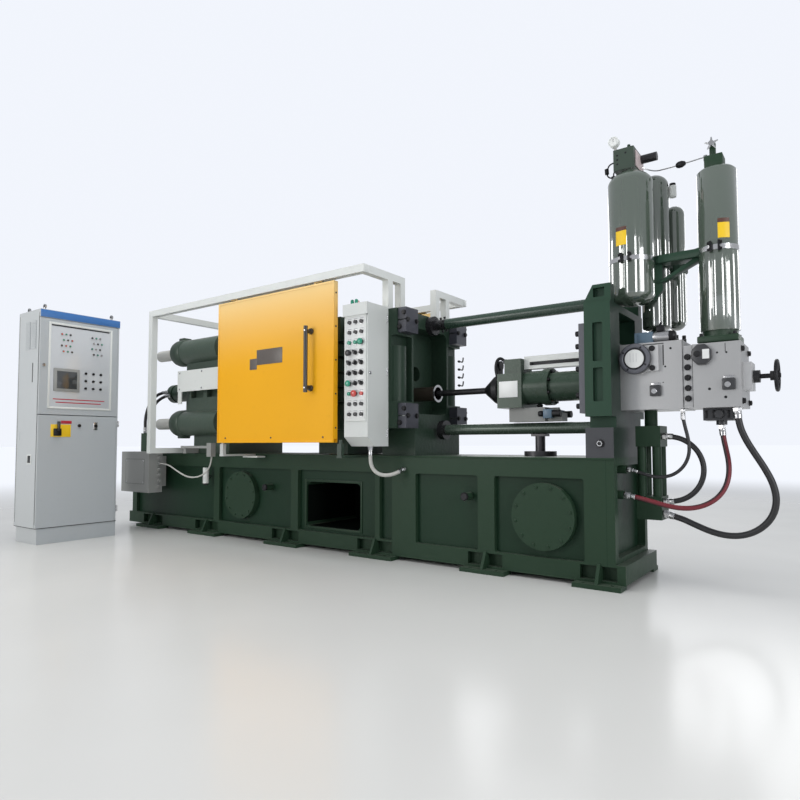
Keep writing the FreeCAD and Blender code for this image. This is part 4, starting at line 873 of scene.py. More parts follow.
def makeBottleFittings():
    # thin steel bands with clamping bolts under the bridge
    facts = bandClamps
    low, high = facts["low"], facts["low"] + facts["tall"]
    solid = Solid("tieBar")
    spots = []
    rings = (bottles["large"][:3], (towerTube["x"], 0.0, towerTube["radius"]))
    for x, y, radius in rings:
        solid.use("tieBar").lathe((x, y, 0), (0, 0, 1), (
            (low, radius), (low, radius + facts["wall"]), (high, radius + facts["wall"]), (high, radius)),
            72)
        for side in (-1, 1):
            lug = x + side * 0.020
            solid.use("black").box((lug - 0.005, y - radius - 0.020, low - 0.010),
                                   (lug + 0.005, y - radius, high + 0.016), 0.001)
            for z in (low - 0.002, high + 0.006):
                spots.append(("+x" if side > 0 else "-x", (lug + side * 0.005, y - radius - 0.011, z)))
    solid.done("bottle_bands", slot="steel_bright")
    studs("band_bolts", spots, facts["bolt"], 0.010)
    # plain plates wrapped on the two front cylinders
    plates = Solid("yellowPlate")
    for x, y, radius, aim, half, foot in ((*rings[0], -1.76, 0.25, 1.838),
                                          (*rings[1], -1.12, 0.30, 1.806)):
        for word, bottom, top in (("yellowPlate", foot, foot + 0.080),
                                  ("brownPlate", foot + 0.081, foot + 0.102)):
            turns = [half * (n / 4 - 1) for n in range(9)]
            outline = [(x + math.cos(aim + t) * r, y + math.sin(aim + t) * r)
                       for r, order in ((radius + 0.0012, turns),
                                        (radius - 0.001, turns[::-1])) for t in order]
            plates.use(word).prism(outline, "z", bottom, top, 0)
    plates.done("bottle_plates", slot="steel_bright")
    # the bridge: a flat arm with thin rings, in place of the plain one, and the brace under it
    brace = Solid("columnGreen")
    bridge = Extent("bottle_bridge")
    low, high = bridge.bottom, bridge.top
    brace.prism(((1.535, -0.010), (1.560, -0.028), (1.745, -0.030), (1.770, -0.045), (1.770, 0.050),
                 (1.745, 0.055),
                 (1.660, 0.075), (1.600, 0.075), (1.575, 0.055), (1.545, 0.0)), "z", low, high, 0.004)
    for member in ("slim", "small"):
        x, y, radius = bottles[member][:3]
        rim = radius + 0.012
        brace.lathe((x, y, 0), (0, 0, 1), ((low, radius), (low, rim), (high, rim), (high, radius)), 64)
    brace.prism(((1.528, 0.205), (1.560, 0.190), (1.590, 0.200), (1.560, 0.225)), "z", low, high, 0.002)
    brace.prism(((1.545, 1.640), (1.575, 1.640), (1.775, 1.735), (1.775, 1.7449), (1.735, 1.7449)), "y",
                -0.012, 0.038,
                0.002)
    brace.prism(((1.505, 1.55), (1.530, 1.55), (1.575, 1.6), (1.575, 1.7449), (1.505, 1.7449)), "y",
                -0.004, 0.030, 0.002)
    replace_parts(brace.done("bridge_arm", slot="bridge_green"), "bottle_bridge")
    # rigid pressure pipe between the bottle head and the tower
    line = Solid("ground")
    line.pipe(((1.462, 0.04, 2.335), (1.51, 0.09, 2.312), (1.60, 0.07, 2.303), (1.68, 0.05, 2.298),
               (1.76, 0.02, 2.29), (1.81, 0.0, 2.284)), 0.0035)
    line.use("black").lathe((1.645, 0.058, 2.300), (1, -0.28, -0.05), (
        (0, 0.004), (0.004, 0.013), (0.016, 0.018), (0.034, 0.018), (0.050, 0.012), (0.056, 0.004)), 20)
    line.use("ground").rod((1.805, 0, 2.262), (1.805, 0, 2.292), 0.010)
    # two looped pipes with black unions on the bottle's outer side
    head = Extent("bottle_valve_block")
    side = 1.350
    for n, out in enumerate((0.050, 0.028)):
        y = -0.060 + n * 0.05
        line.use("black").pipe(((side, y, 2.355 - n * 0.03), (side - out * 0.7, y, 2.358 - n * 0.03),
                                (side - out, y - 0.01, 2.315),
                                (side - out * 0.9, y - 0.015, 2.275 - n * 0.01),
                                (side - 0.015, y - 0.01, 2.262), (side + 0.028, y, 2.262)), 0.004)
        line.lathe((side - out - 0.001, y - 0.01, 2.325 - n * 0.03), (0.1, -0.1, -1), (
            (0, 0.006), (0.002, 0.013), (0.030, 0.013), (0.034, 0.006)), 6)
    line.done("bottle_pipework", slot="steel_dark")
    # head block: drilled face, cover plate, clamping bolts and the gauge's face
    block = Solid("black")
    for x, z in ((1.372, 2.37), (1.372, 2.345), (1.372, 2.32), (1.418, 2.375)):
        block.rod((x, -0.1108, z), (x, -0.108, z), 0.006, 16)
    block.use("pinkGrey").box((1.462, -0.080, 2.300), (1.467, 0.070, 2.390), 0.001)
    block.use("paleGrey").lathe((1.352, -0.110, head.top - 0.027), (0, -1, 0),
                                ((-0.030, 0.0285), (0.004, 0.0285),
                                (0.006, 0.025), (0.002, 0.0235)), 40)
    block.use("whiteFace").rod((1.352, -0.111, head.top - 0.027), (1.352, -0.1125, head.top - 0.027),
                               0.0235, 32)
    block.use("black").box((1.351, -0.1135, head.top - 0.030), (1.3525, -0.1125, head.top - 0.010), 0)
    block.use("castGreen").lathe((1.430, -0.085, 2.404), (0, 0, 1),
                                 ((0, 0.010), (0.018, 0.010), (0.022, 0.007)), 6)
    block.lathe((1.440, 0.040, 2.404), (0, 0, 1), ((0, 0.010), (0.014, 0.010), (0.018, 0.007)), 6)
    block.done("bottle_head_fittings", slot="steel_bright")
    spots = [("+z", (1.365 + 0.075 * i, -0.085 + 0.14 * j, 2.404)) for i in (0, 1) for j in (0, 1)]
    studs("head_block_bolts", spots, 0.009, 0.009, sides=12)
    gauge = Solid("paleGrey").rod((1.60, 0.17, 2.17), (1.60, 0.17, 2.235), 0.020)
    gauge.use("black").rod((1.60, 0.17, 2.235), (1.60, 0.17, 2.250), 0.017)
    gauge.use("ground").rod((1.575, 0.165, 2.20), (1.60, 0.17, 2.20), 0.008)
    gauge.done("slim_bottle_switch", slot="steel_bright")


manifoldPlugs = {  # middle of the plug: x, z, then its half width and half height
    "first": (1.562, 1.040, 0.028, 0.036), "second": (1.910, 1.056, 0.030, 0.036)}


def makeManifoldDetail():
    block = Extent("valve_manifold")
    step = Extent("manifold_valves")
    for face, side in ((block.front, -1), (block.back, 1)):
        solid = Solid("darkCast")
        for x, z, wide, tall in manifoldPlugs.values():
            out = face + side * 0.020
            solid.use("darkCast").box((x - wide, min(face, out), z - tall),
                                      (x + wide, max(face, out), z + tall * 0.6), 0.006)
            solid.use("ground").rod((x - 0.004, out, z - 0.010),
                                    (x - 0.004, out + side * 0.004, z - 0.010), 0.014)
            solid.use("ground").box((x - wide * 0.8, min(face, face + side * 0.008), z + tall * 0.6),
                                    (x + wide * 0.8, max(face, face + side * 0.008), z + tall), 0.002)
        hexagon = [(1.790 + math.cos(math.pi / 8 + math.pi / 4 * n) * 0.050,
                    1.204 + math.sin(math.pi / 8 + math.pi / 4 * n) * 0.056) for n in range(8)]
        solid.use("darkCast").prism(hexagon, "y", *layer(face, side, 0.030), 0.005)
        solid.use("black").rod((1.772, face + side * 0.030, 1.207), (1.772, face + side * 0.036, 1.207),
                               0.016)
        tag = layer(face, side, 0.0315, 0.0298)
        solid.use("whiteFace").box((1.797, tag[0], 1.180), (1.829, tag[1], 1.228), 0)
        for x, z, radius in ((1.860, 1.210, 0.005), (1.902, 1.208, 0.005), (1.821, 1.029, 0.007),
                             (1.894, 0.985, 0.007),
                             (1.640, 1.252, 0.006), (1.612, 1.158, 0.005), (1.600, 1.075, 0.003)):
            solid.use("black").rod((x, face + side * 0.0002, z), (x, face + side * 0.0012, z), radius, 16,
                                   0.0002)
        groove = layer(face, side, 0.0008)
        for low, high in (((1.600, 1.165), (1.606, 1.274)), ((1.500, 1.279), (1.606, 1.284)),
                          ((1.8955, 1.212), (1.8985, 1.255)), ((1.6955, 0.940), (1.6975, 1.288)),
                          ((1.7430, 0.940), (1.7450, 1.260))):
            solid.use("darkLine").box((low[0], groove[0], low[1]), (high[0], groove[1], high[1]), 0)
        solid.done("manifold_plugs_front" if side < 0 else "manifold_plugs_back", slot="steel_dark")
    spots = []
    for face, way in ((block.front, "-y"), (block.back, "+y")):
        spots += [(way, (1.7200, face, 0.985 + 0.0535 * n)) for n in range(5)]
    for x in (1.41, 1.67):
        spots += [("+z", (x, y, block.top)) for y in (-0.03, 0.125)]
    spots += [("+x", (block.right, y, z)) for y in (-0.115, 0.115) for z in (0.965, 1.225)]
    studs("manifold_bolts", spots, 0.014, 0.013, sides=16, collar=1.15, cap=0.55)
    # the filling dial: heavy dark ring, bevelled rim and a pale face, with its flange bolts
    dial = Solid("violetGrey")
    x, z, out = 1.468, 1.205, step.front
    dial.lathe((x, out + 0.0005, z), (0, -1, 0), ((0, 0.080), (0.006, 0.078), (0.010, 0.070),
                                                  (0.010, 0.062), (0.003, 0.056),
                                                  (0.003, 0.052)), 56)
    dial.use("black").lathe((x, out - 0.0025, z), (0, -1, 0),
                            ((0, 0.058), (0.004, 0.056), (0.004, 0.050), (0.001, 0.049)), 56)
    dial.use("whiteFace").rod((x, out - 0.002, z), (x, out - 0.0055, z), 0.050, 48)
    for n in range(3):
        dial.use("greyLine").box((x - 0.022 + n * 0.016, out - 0.0062, z - 0.018),
                                 (x - 0.0205 + n * 0.016, out - 0.0054,
                                 z + 0.030), 0)
    dial.done("filling_dial", slot="steel_dark")
    studs("dial_rim_screws", [("-y", at) for at in ring((x, out - 0.0085, z), "y", 0.066, 4, 2.6)], 0.005,
          0.003, sides=12)
    studs("dial_flange_bolts", [("-y", (1.552, -0.170, z + side * 0.052)) for side in (-1, 1)], 0.014,
          0.012, sides=16,
          collar=1.1)
    # solenoid details
    coil = Solid("blueGrey").box((1.466, -0.1215, 1.300), (1.505, -0.119, 1.345), 0.001)
    coil.use("ground").lathe((1.545, -0.093, 1.326), (1, 0, 0),
                             ((0, 0.029), (0.004, 0.030), (0.076, 0.030), (0.080, 0.028)), 32)
    coil.use("black").lathe((1.625, -0.093, 1.326), (1, 0, 0),
                            ((0, 0.030), (0.022, 0.030), (0.032, 0.020), (0.034, 0.010)), 8)
    coil.use("black").box((1.560, -0.110, 1.354), (1.600, -0.076, 1.385), 0.004)
    coil.pipe(((1.58, -0.090, 1.38), (1.58, -0.090, 1.40), (1.575, -0.060, 1.41), (1.560, -0.03, 1.39),
               (1.555, -0.01, 1.345),
               (1.555, -0.01, 1.292)), 0.006)
    for x, y in ((1.635, 0.02), (1.665, 0.06), (1.60, 0.03)):
        coil.use("ground").rod((x, y, 1.292), (x, y, 1.325), 0.013, 6)
        coil.use("black").rod((x, y, 1.325), (x, y, 1.345), 0.010)
    coil.done("solenoid_trim", slot="steel_bright")
    valve = Solid("darkCast").lathe((1.850, 0, 0.905), (0, -1, 0),
                                    ((0.070, 0.026), (0.084, 0.026), (0.088, 0.022)), 6)
    for n in range(4):
        valve.use("black").box((1.785 + n * 0.034, -0.0755, 0.884), (1.797 + n * 0.034, -0.072, 0.924),
                               0.001)
    valve.done("lower_valve_trim", slot="steel_dark")


def makeHoseFittings():
    # swaged ferrule and union nut where each hose meets its port
    solid = Solid("ground")
    for facts in hoses.values():
        if facts["across"] < 15:
            continue
        route = [Vector(p) / 1000 for p in facts["route"]]
        thick = facts["across"] / 2000
        for end, beyond in ((route[0], route[1]), (route[-1], route[-2])):
            way = (beyond - end).normalized()
            solid.use("ground").lathe(end + way * 0.0005, way, (
                (0, thick * 1.05), (0.003, thick * 1.42), (0.020, thick * 1.42), (0.023, thick * 1.2)), 6)
            solid.lathe(end + way * 0.022, way, ((0, thick * 1.10), (0.002, thick * 1.24),
                                                 (0.010, thick * 1.24),
                        (0.012, thick * 1.16), (0.016, thick * 1.24), (0.034, thick * 1.20),
                        (0.036, thick * 1.03)), 24)
    solid.done("hose_fittings", slot="steel_bright")


controlPanel = {"low": (-0.217, 0.905), "high": (-0.055, 1.562), "columns": (-0.186, -0.136, -0.086),
                "top": 1.527,
                "pitch": 0.065, "black": ((0, 3), (1, 3), (8, 3), (9, 3)), "button": 0.0125}


def makeControlPanel():
    facts = controlPanel
    box = Extent("control_box")
    face = box.front + 0.014
    plate = Solid("whiteFace")
    plate.box((facts["low"][0], face - 0.003, facts["low"][1]),
              (facts["high"][0], face, facts["high"][1]), 0.001)
    plate.use("paleGrey").hollow((facts["low"][0] - 0.006, face - 0.006, facts["low"][1] - 0.006),
                                 (facts["high"][0] + 0.006, face, facts["high"][1] + 0.006), 0.008, 0.005,
                                 1)
    face -= 0.003
    height = [facts["top"] - facts["pitch"] * n for n in range(10)]
    for row in range(10):
        for x in facts["columns"]:
            plate.use("greyLine").box((x - 0.015, face - 0.0004, height[row] + 0.019),
                                      (x + 0.015, face, height[row] + 0.0235), 0)
    for row in (3, 4, 5, 6):
        for n, x in enumerate(facts["columns"]):
            if (row, n) in ((3, 0), (6, 0)):
                continue
            z = height[row]
            plate.use("blackPlastic").lathe((x, face, z), (0, -1, 0),
                                            ((0, 0.0145), (0.008, 0.0145), (0.010, 0.012)), 24)
            lean = 0.5 if (row + n) % 2 else -0.4
            tip = Vector((math.sin(lean), 0, math.cos(lean)))
            side = Vector((math.cos(lean), 0, -math.sin(lean)))
            outline = [(Vector((x, 0, z)) + side * a + tip * b) for a,
                       b in ((-0.005, -0.010), (0.005, -0.010), (0.004, 0.017),
                                                                             (-0.004, 0.017))]
            plate.prism([(p.x, p.z) for p in outline], "y", face - 0.026, face - 0.008, 0.001)
    for row, n, word, radius in ((2, 2, "greenLens", 0.021), (3, 0, "blackPlastic", 0.021),
                                 (6, 0, "greenLens", 0.021),
                                 (7, 1, "redLens", 0.022)):
        x, z = facts["columns"][n], height[row]
        plate.use("blackPlastic").lathe((x, face, z), (0, -1, 0),
                                        ((0, 0.0155), (0.012, 0.0155), (0.014, 0.010)), 24)
        plate.use(word).lathe((x, face - 0.012, z), (0, -1, 0),
                              ((0, radius * 0.6), (0.006, radius), (0.012, radius * 0.96),
                              (0.016, radius * 0.7), (0.018, 0)), 28)
    plate.done("control_panel", slot="box_grey")
    spots = [("-y", (facts["columns"][n], face, height[row])) for row,
             count in facts["black"] for n in range(count)]
    studs("panel_buttons", spots, 0.0135, 0.010, sides=20, collar=1.2, cap=0.72,
          words=("ground", "blackPlastic", "blackPlastic"))
    spots = [("-y", (facts["columns"][n], face, height[row])) for row, n in ((2, 0), (2, 1), (7, 0))]
    studs("panel_lamps", spots, 0.0135, 0.012, sides=20, collar=1.25, cap=0.8,
          words=("ground", "greenLens", "greenLens"))
    spots = [("-y", (facts["columns"][2], face, height[7]))]
    studs("panel_stop_ring", spots, 0.0135, 0.010, sides=20, collar=1.2, cap=0.72,
          words=("ground", "redLens", "redLens"))
    top = Solid("blackPlastic")
    for x, y, word in ((-0.200, -0.560, "greenLens"), (-0.165, -0.560, "greenLens"),
                       (-0.183, -0.525, "redLens")):
        top.use("ground").lathe((x, y, box.top), (0, 0, 1), ((0, 0.015), (0.006, 0.015), (0.008, 0.013)),
                                24)
        top.use(word).lathe((x, y, box.top + 0.006), (0, 0, 1),
                            ((0, 0.012), (0.024, 0.012), (0.032, 0.009), (0.036, 0)), 24)
    top.use("darkLine").box((box.left + 0.003, box.front + 0.0125, 1.5655),
                            (box.right - 0.003, box.front + 0.0141, 1.5675), 0)
    top.use("paleGrey").box((box.left + 0.02, -0.390, 1.10), (box.right - 0.02, -0.378, 1.30), 0.002)
    for z in (0.80, 1.20, 1.54):
        top.use("ground").lathe((box.right - 0.004, -0.404, z), (0, 0, 1), ((0, 0.005), (0.05, 0.005)),
                                12)
    top.use("ground").lathe((box.right - 0.0045, -0.575, 1.20), (1, 0, 0),
                            ((0, 0.011), (0.004, 0.011), (0.006, 0.008)), 20)
    top.use("ground").lathe((-0.112, -0.478, 0.742), (0, 0, -1),
                            ((0, 0.020), (0.010, 0.020), (0.012, 0.017), (0.030, 0.016)), 6)
    top.done("control_box_trim", slot="box_grey")


cabinet = {"plinth": 0.120, "split": 0.985, "header": 1.734, "panel": ((-1.325, 1.050), (-0.860, 1.690)),
           "monitor": ((-1.300, 1.170), (-1.105, 1.350))}


def makeCabinetDetail():
    body = Extent("cabinet_body")
    face = body.right
    door = Extent("cabinet_upper_door").right
    low, high = cabinet["panel"]
    solid = Solid("blueStrip")
    solid.box((face - 0.004, body.front + 0.001, cabinet["header"] + 0.003),
              (face + 0.0025, body.back - 0.001, body.top - 0.003),
              0.001)
    solid.use("darkLine").box((face - 0.004, body.front + 0.002, cabinet["plinth"] - 0.001),
                              (face + 0.0008, body.back - 0.002,
                              cabinet["plinth"] + 0.003), 0)
    solid.box((body.left + 0.002, body.front - 0.0006, cabinet["plinth"] - 0.001),
              (face - 0.002, body.front + 0.002,
              cabinet["plinth"] + 0.003), 0)
    solid.box((body.left + 0.002, body.back - 0.002, cabinet["plinth"] - 0.001),
              (face - 0.002, body.back + 0.0006,
              cabinet["plinth"] + 0.003), 0)
    for y in (body.front + 0.05, body.back - 0.05):
        for x in (body.left + 0.05, face - 0.05):
            solid.use("ground").lathe((x, y, body.top), (0, 0, 1),
                                      ((0, 0.016), (0.008, 0.016), (0.010, 0.008), (0.022, 0.008)), 20)
            solid.lathe((x, y - 0.006, body.top + 0.030), (0, 1, 0),
                        ((0, 0.010), (0, 0.018), (0.012, 0.018), (0.012, 0.010),
                                                                      (0, 0.010)), 24)
    solid.use("darkLine").box((body.left + 0.250, body.front - 0.001, 1.235),
                              (body.left + 0.262, body.front + 0.002, 1.385), 0)
    solid.use("paleGrey").hollow((body.left + 0.205, body.front - 0.004, 0.605),
                                 (body.left + 0.275, body.front, 0.680), 0.010,
                                 0.004, 1)
    solid.use("black").box((body.left + 0.214, body.front - 0.002, 0.614),
                           (body.left + 0.266, body.front + 0.001, 0.671), 0.001)
    for y, side in ((body.front, -1), (body.back, 1)):
        deep = layer(y, side, 0.0010)
        solid.use("darkLine").box((body.left + 0.012, deep[0], 0.150),
                                  (body.left + 0.015, deep[1], 1.770), 0)
        solid.box((face - 0.018, deep[0], 0.150), (face - 0.015, deep[1], 1.770), 0)
    back = body.left
    solid.use("darkLine").hollow((back - 0.001, body.front + 0.03, 0.16), (back, body.back - 0.03, 1.76),
                                 0.003, 0.001, 0, 0)
    for z in (0.35, 0.95, 1.55):
        solid.use("black").rod((back - 0.006, body.front + 0.06, z), (back, body.front + 0.06, z), 0.012)
    solid.done("cabinet_trim", slot="cabinet_grey")
    # doors: raised panel, screen, lamps and switches; they ride on their doors
    upper = Solid("paleGrey")
    upper.hollow((door, low[0] - 0.016, low[1] - 0.016), (door + 0.004, high[0] + 0.016, high[1] + 0.016),
                 0.016, 0.005, 0, 0.002)
    upper.use("acrylic").box((door - 0.002, low[0], low[1]), (door + 0.002, high[0], high[1]), 0.001)
    upper.use("black").box((door + 0.001, low[0] + 0.004, high[1] - 0.012),
                           (door + 0.004, high[0] - 0.010, high[1] - 0.003), 0.001)
    one, two = cabinet["monitor"]
    upper.use("boxGrey").box((door, one[0], one[1]), (door + 0.012, two[0], two[1]), 0.004)
    upper.use("screen").box((door + 0.010, one[0] + 0.022, one[1] + 0.022),
                            (door + 0.0135, two[0] - 0.022, two[1] - 0.022), 0.001)
    for row, z in enumerate((1.62, 1.575, 1.53, 1.485)):
        for n in range(3):
            y = -1.245 + 0.032 * n + (0.014 if row % 2 else 0)
            upper.use("ground").rod((door + 0.001, y, z), (door + 0.006, y, z), 0.009, 16)
            upper.use(("redLens", "greenLens", "black")[(row + n) % 3]).rod((door + 0.005, y, z),
                (door + 0.010, y, z), 0.006, 16)
            y += 0.235
            upper.use("ground").rod((door + 0.001, y, z), (door + 0.006, y, z), 0.009, 16)
            upper.use(("black", "ground", "greenLens")[(row + 2 * n) % 3]).rod((door + 0.005, y, z),
                (door + 0.011, y, z), 0.006, 16)
    for row in range(3):
        for n in range(3):
            upper.use("black").rod((door + 0.001, -1.055 + 0.060 * n, 1.325 - 0.060 * row),
                                   (door + 0.010, -1.055 + 0.060 * n,
                                   1.325 - 0.060 * row), 0.010, 20)
    upper.use("redPlate").box((door + 0.0015, -1.30, 1.105), (door + 0.0028, -0.90, 1.112), 0)
    upper.box((door + 0.0015, -1.28, 1.080), (door + 0.0028, -0.93, 1.087), 0)
    upper.use("ground").lathe((door, -1.372, 1.365), (1, 0, 0),
                              ((0, 0.013), (0.005, 0.013), (0.008, 0.010)), 24)
    upper.use("black").box((door + 0.006, -1.375, 1.353), (door + 0.0095, -1.369, 1.377), 0.001)
    upper.done("upper_door_panel", body="upper_cabinet_door", slot="cabinet_grey")
    lower = Solid("yellowPlate").box((door - 0.001, -1.310, 0.815), (door + 0.0015, -1.160, 0.912),
                                     0.0005)
    lower.use("black").box((door, -1.290, 0.823), (door + 0.018, -1.235, 0.880), 0.004)
    lower.use("blackPlastic").box((door + 0.016, -1.270, 0.862), (door + 0.040, -1.254, 0.935), 0.003)
    lower.use("redPlate").box((door - 0.001, -1.235, 0.918), (door + 0.0015, -1.155, 0.942), 0.0005)
    lower.use("black").rod((door, -1.097, 0.905), (door + 0.012, -1.097, 0.905), 0.012, 24)
    lower.use("ground").box((door, -0.985, 0.872), (door + 0.004, -0.952, 0.936), 0.002)
    lower.use("black").rod((door + 0.003, -0.968, 0.905), (door + 0.014, -0.968, 0.905), 0.013, 24)
    for z in (0.20, 0.90):
        lower.use("ground").rod((face + 0.010, -0.783, z), (face + 0.010, -0.783, z + 0.05), 0.006)
    lower.done("lower_door_switches", body="lower_cabinet_door", slot="cabinet_grey")
    for side, way in ((body.front - 0.004, 1), (body.back + 0.004, -1)):
        for n in (0, 1):
            grow("cabinet_louvres_%s%d" % ("front" if way > 0 else "back", n), louvreTree,
                 [(body.left + 0.170 + 0.100 * n, side, 1.500)],
                 {"Count": 11, "Pitch": 0.020, "Width": 0.075, "Finish": finishes["cabinetGrey"]},
                 "machine")


def makeDoorDetail():
    for name, body, side in (("front_door", "front_door_panel", -1), ("rear_door", "rear_door_panel", 1)):
        door = Extent(name)
        face = door.front if side < 0 else door.back
        top = 1.818
        solid = Solid("amber")
        lip = layer(face, side, 0.0035)
        for low, high in (((door.left, door.bottom), (door.left + 0.014, top)),
                          ((door.right - 0.014, door.bottom),
                          (door.right, top)), ((door.left + 0.014, door.bottom),
                                               (door.right - 0.014, door.bottom + 0.014)),
                          ((door.left + 0.014, top - 0.014), (door.right - 0.014, top))):
            solid.box((low[0], lip[0], low[1]), (high[0], lip[1], high[1]), 0.0015)
        plate = layer(face, side, 0.0018)
        solid.use("darkPlate").box((-1.055, plate[0], 1.320), (-0.790, plate[1], 1.428), 0.0006)
        solid.use("darkPlate").box((-1.130, plate[0], 1.290), (-1.055, plate[1], 1.368), 0.0006)
        spots = []
        for n in range(5):
            spots.append(("+x", (door.right, face - side * 0.018, 0.86 + 0.22 * n)))
        for x in (-1.40, -0.90, -0.40):
            spots.append(("-y" if side < 0 else "+y", (x, face, door.bottom + 0.035)))
        solid.done(name + "_trim", body=body, slot="door_amber")
        studs(name + "_screws", spots, 0.006, 0.003, body=body, sides=16, collar=1.1,
              words=("steelDark", "steelDark", "black"))
    grip = Extent("front_door_handle")
    feet = Solid("blackPlastic")
    for z in (grip.bottom + 0.030, grip.top - 0.030):
        feet.lathe((grip.middle.x, grip.back, z), (0, -1, 0),
                   ((-0.003, 0.021), (0.004, 0.022), (0.010, 0.020), (0.018, 0.017)), 24)
        feet.use("ground").lathe((grip.middle.x, grip.front, z), (0, -1, 0),
                                 ((-0.002, 0.008), (0.0, 0.007), (0.001, 0.004)), 16)
        feet.use("blackPlastic")
    feet.done("handle_feet", body="front_door_panel", slot="handle_black")


baseWindow = {"left": -0.890, "right": -0.369, "low": 0.157, "high": 0.480, "front": -0.275,
              "back": 0.268, "skin": 0.003}


def makeBaseDetail():
    w = baseWindow
    # painted shade: a near-black sheet inside the base's window stands in for the shade in its hollow
    shadeSheet = Solid("hollowPaintedShade")
    shadeSheet.box((w["left"], w["back"] - w["skin"], w["low"]), (w["right"], w["back"], w["high"]), 0)
    shadeSheet.box((w["left"], w["front"] + 0.01, w["low"]), (w["right"], w["back"], w["low"] + w["skin"]), 0)
    shadeSheet.box((w["left"], w["front"] + 0.01, w["high"] - w["skin"]), (w["right"], w["back"], w["high"]),
               0)
    shadeSheet.box((w["left"], w["front"] + 0.01, w["low"]), (w["left"] + w["skin"], w["back"], w["high"]), 0)
    shadeSheet.box((w["right"] - w["skin"], w["front"] + 0.01, w["low"]), (w["right"], w["back"], w["high"]),
               0)
    shadeSheet.done("window_shade_sheet", slot="machine_green")
    rim = Solid("green")
    rim.hollow((w["left"] - 0.016, w["front"] - 0.006, w["low"] - 0.016),
               (w["right"] + 0.016, w["front"], w["high"] + 0.016), 0.016, 0.006, 1, 0.002)
    for side in (-1, 1):
        y = side * 0.305
        seam = layer(y, side, 0.004)
        rim.box((-3.185, seam[0], 0.668), (-0.005, seam[1], 0.679), 0.002)
        rim.box((0.005, seam[0], 0.668), (1.380, seam[1], 0.679), 0.002)
    rim.done("base_edging", slot="machine_green")
    spots = []
    for x, z in ((-1.605, 0.350), (0.985, 0.350)):
        for side, way in ((-1, "-y"), (1, "+y")):
            spots += [(way, at) for at in ring((x, side * 0.319, z), "y", 0.166, 12, 0.2)]
    studs("cover_disc_bolts", spots, 0.0085, 0.006, sides=6,
          words=("green", "green", "green"))
    # fittings on the front face: a level tube, two capped stubs, the hose ports and a ledge
    trim = Solid("paleGrey")
    trim.rod((-2.010, -0.345, 0.430), (-2.010, -0.345, 0.560), 0.024)
    trim.use("black").rod((-2.010, -0.345, 0.416), (-2.010, -0.345, 0.432), 0.019)
    trim.use("ground").box((-2.030, -0.345, 0.470), (-1.990, -0.304, 0.500), 0.002)
    trim.use("black").lathe((-1.272, -0.343, 0.424), (0, -1, 0),
                            ((-0.002, 0.026), (0.010, 0.026), (0.014, 0.020)), 8)
    trim.lathe((0.504, -0.343, 0.440), (0, -1, 0), ((-0.002, 0.026), (0.010, 0.026), (0.014, 0.020)), 8)
    for y, z in ((-0.133, 0.616), (-0.190, 0.482)):
        trim.use("ground").lathe((1.400, y, z), (-1, 0, 0), ((0, 0.018), (0.012, 0.020), (0.026, 0.020)),
                                 6)
    trim.use("paleGrey").box((-1.470, -0.40, 0.652), (-1.300, -0.320, 0.664), 0.002)
    trim.done("base_fittings", slot="box_grey")


def makePlatenDetail():
    spots = []
    for y, z in barPlaces:
        spots += [("+x", (0.095, y + step, z)) for step in (-0.048, 0.048)]
        way, out = ("-y", -0.068) if y < 0 else ("+y", 0.068)
        spots += [(way, (x, y + out, z + lift)) for x, lift in ((0.045, -0.045), (0.045 + 0.034, 0.045))]
    studs("clamp_bolts", spots, 0.014, 0.011, sides=16, collar=1.25, cap=0.55)
    sleeve = Solid("ground")
    bore, rim = 0.045, 0.060
    sleeve.lathe((0.086, 0, shotAxis), (1, 0, 0), ((0, bore), (0, rim), (0.006, rim), (0.006, bore),
                                                   (0, bore)), 48)
    for n in range(4):
        z = 1.190 + 0.060 * n
        sleeve.use("black").pipe(((0.020, 0.380, z), (0.020, 0.425, z), (0.020, 0.452, z),
                                  (0.020, 0.455, z + 0.036)), 0.005)
        sleeve.rod((0.020, 0.389, z), (0.020, 0.402, z), 0.010, 6)
    sleeve.done("sleeve_and_cooling_pipes", slot="steel_bright")
    moving = Extent("moving_platen")
    fixed = Extent("fixed_platen")
    for face, side, name, body in ((moving.right, 1, "moving_die_plate", "moving_plate"),
                                   (fixed.left, -1, "fixed_die_plate",
                                                                                         "machine")):
        solid = Solid("darkLine")
        deep = layer(face, side, 0.0008)
        for z in (1.000, clampAxis, 1.394):
            solid.box((deep[0], -0.225, z - 0.009), (deep[1], 0.225, z + 0.009), 0)
        for y in (-0.15, 0.15):
            solid.box((deep[0], y - 0.009, 0.97), (deep[1], y + 0.009, 1.52), 0)
        solid.done(name + "_slots", body=body, slot="steel_dark")


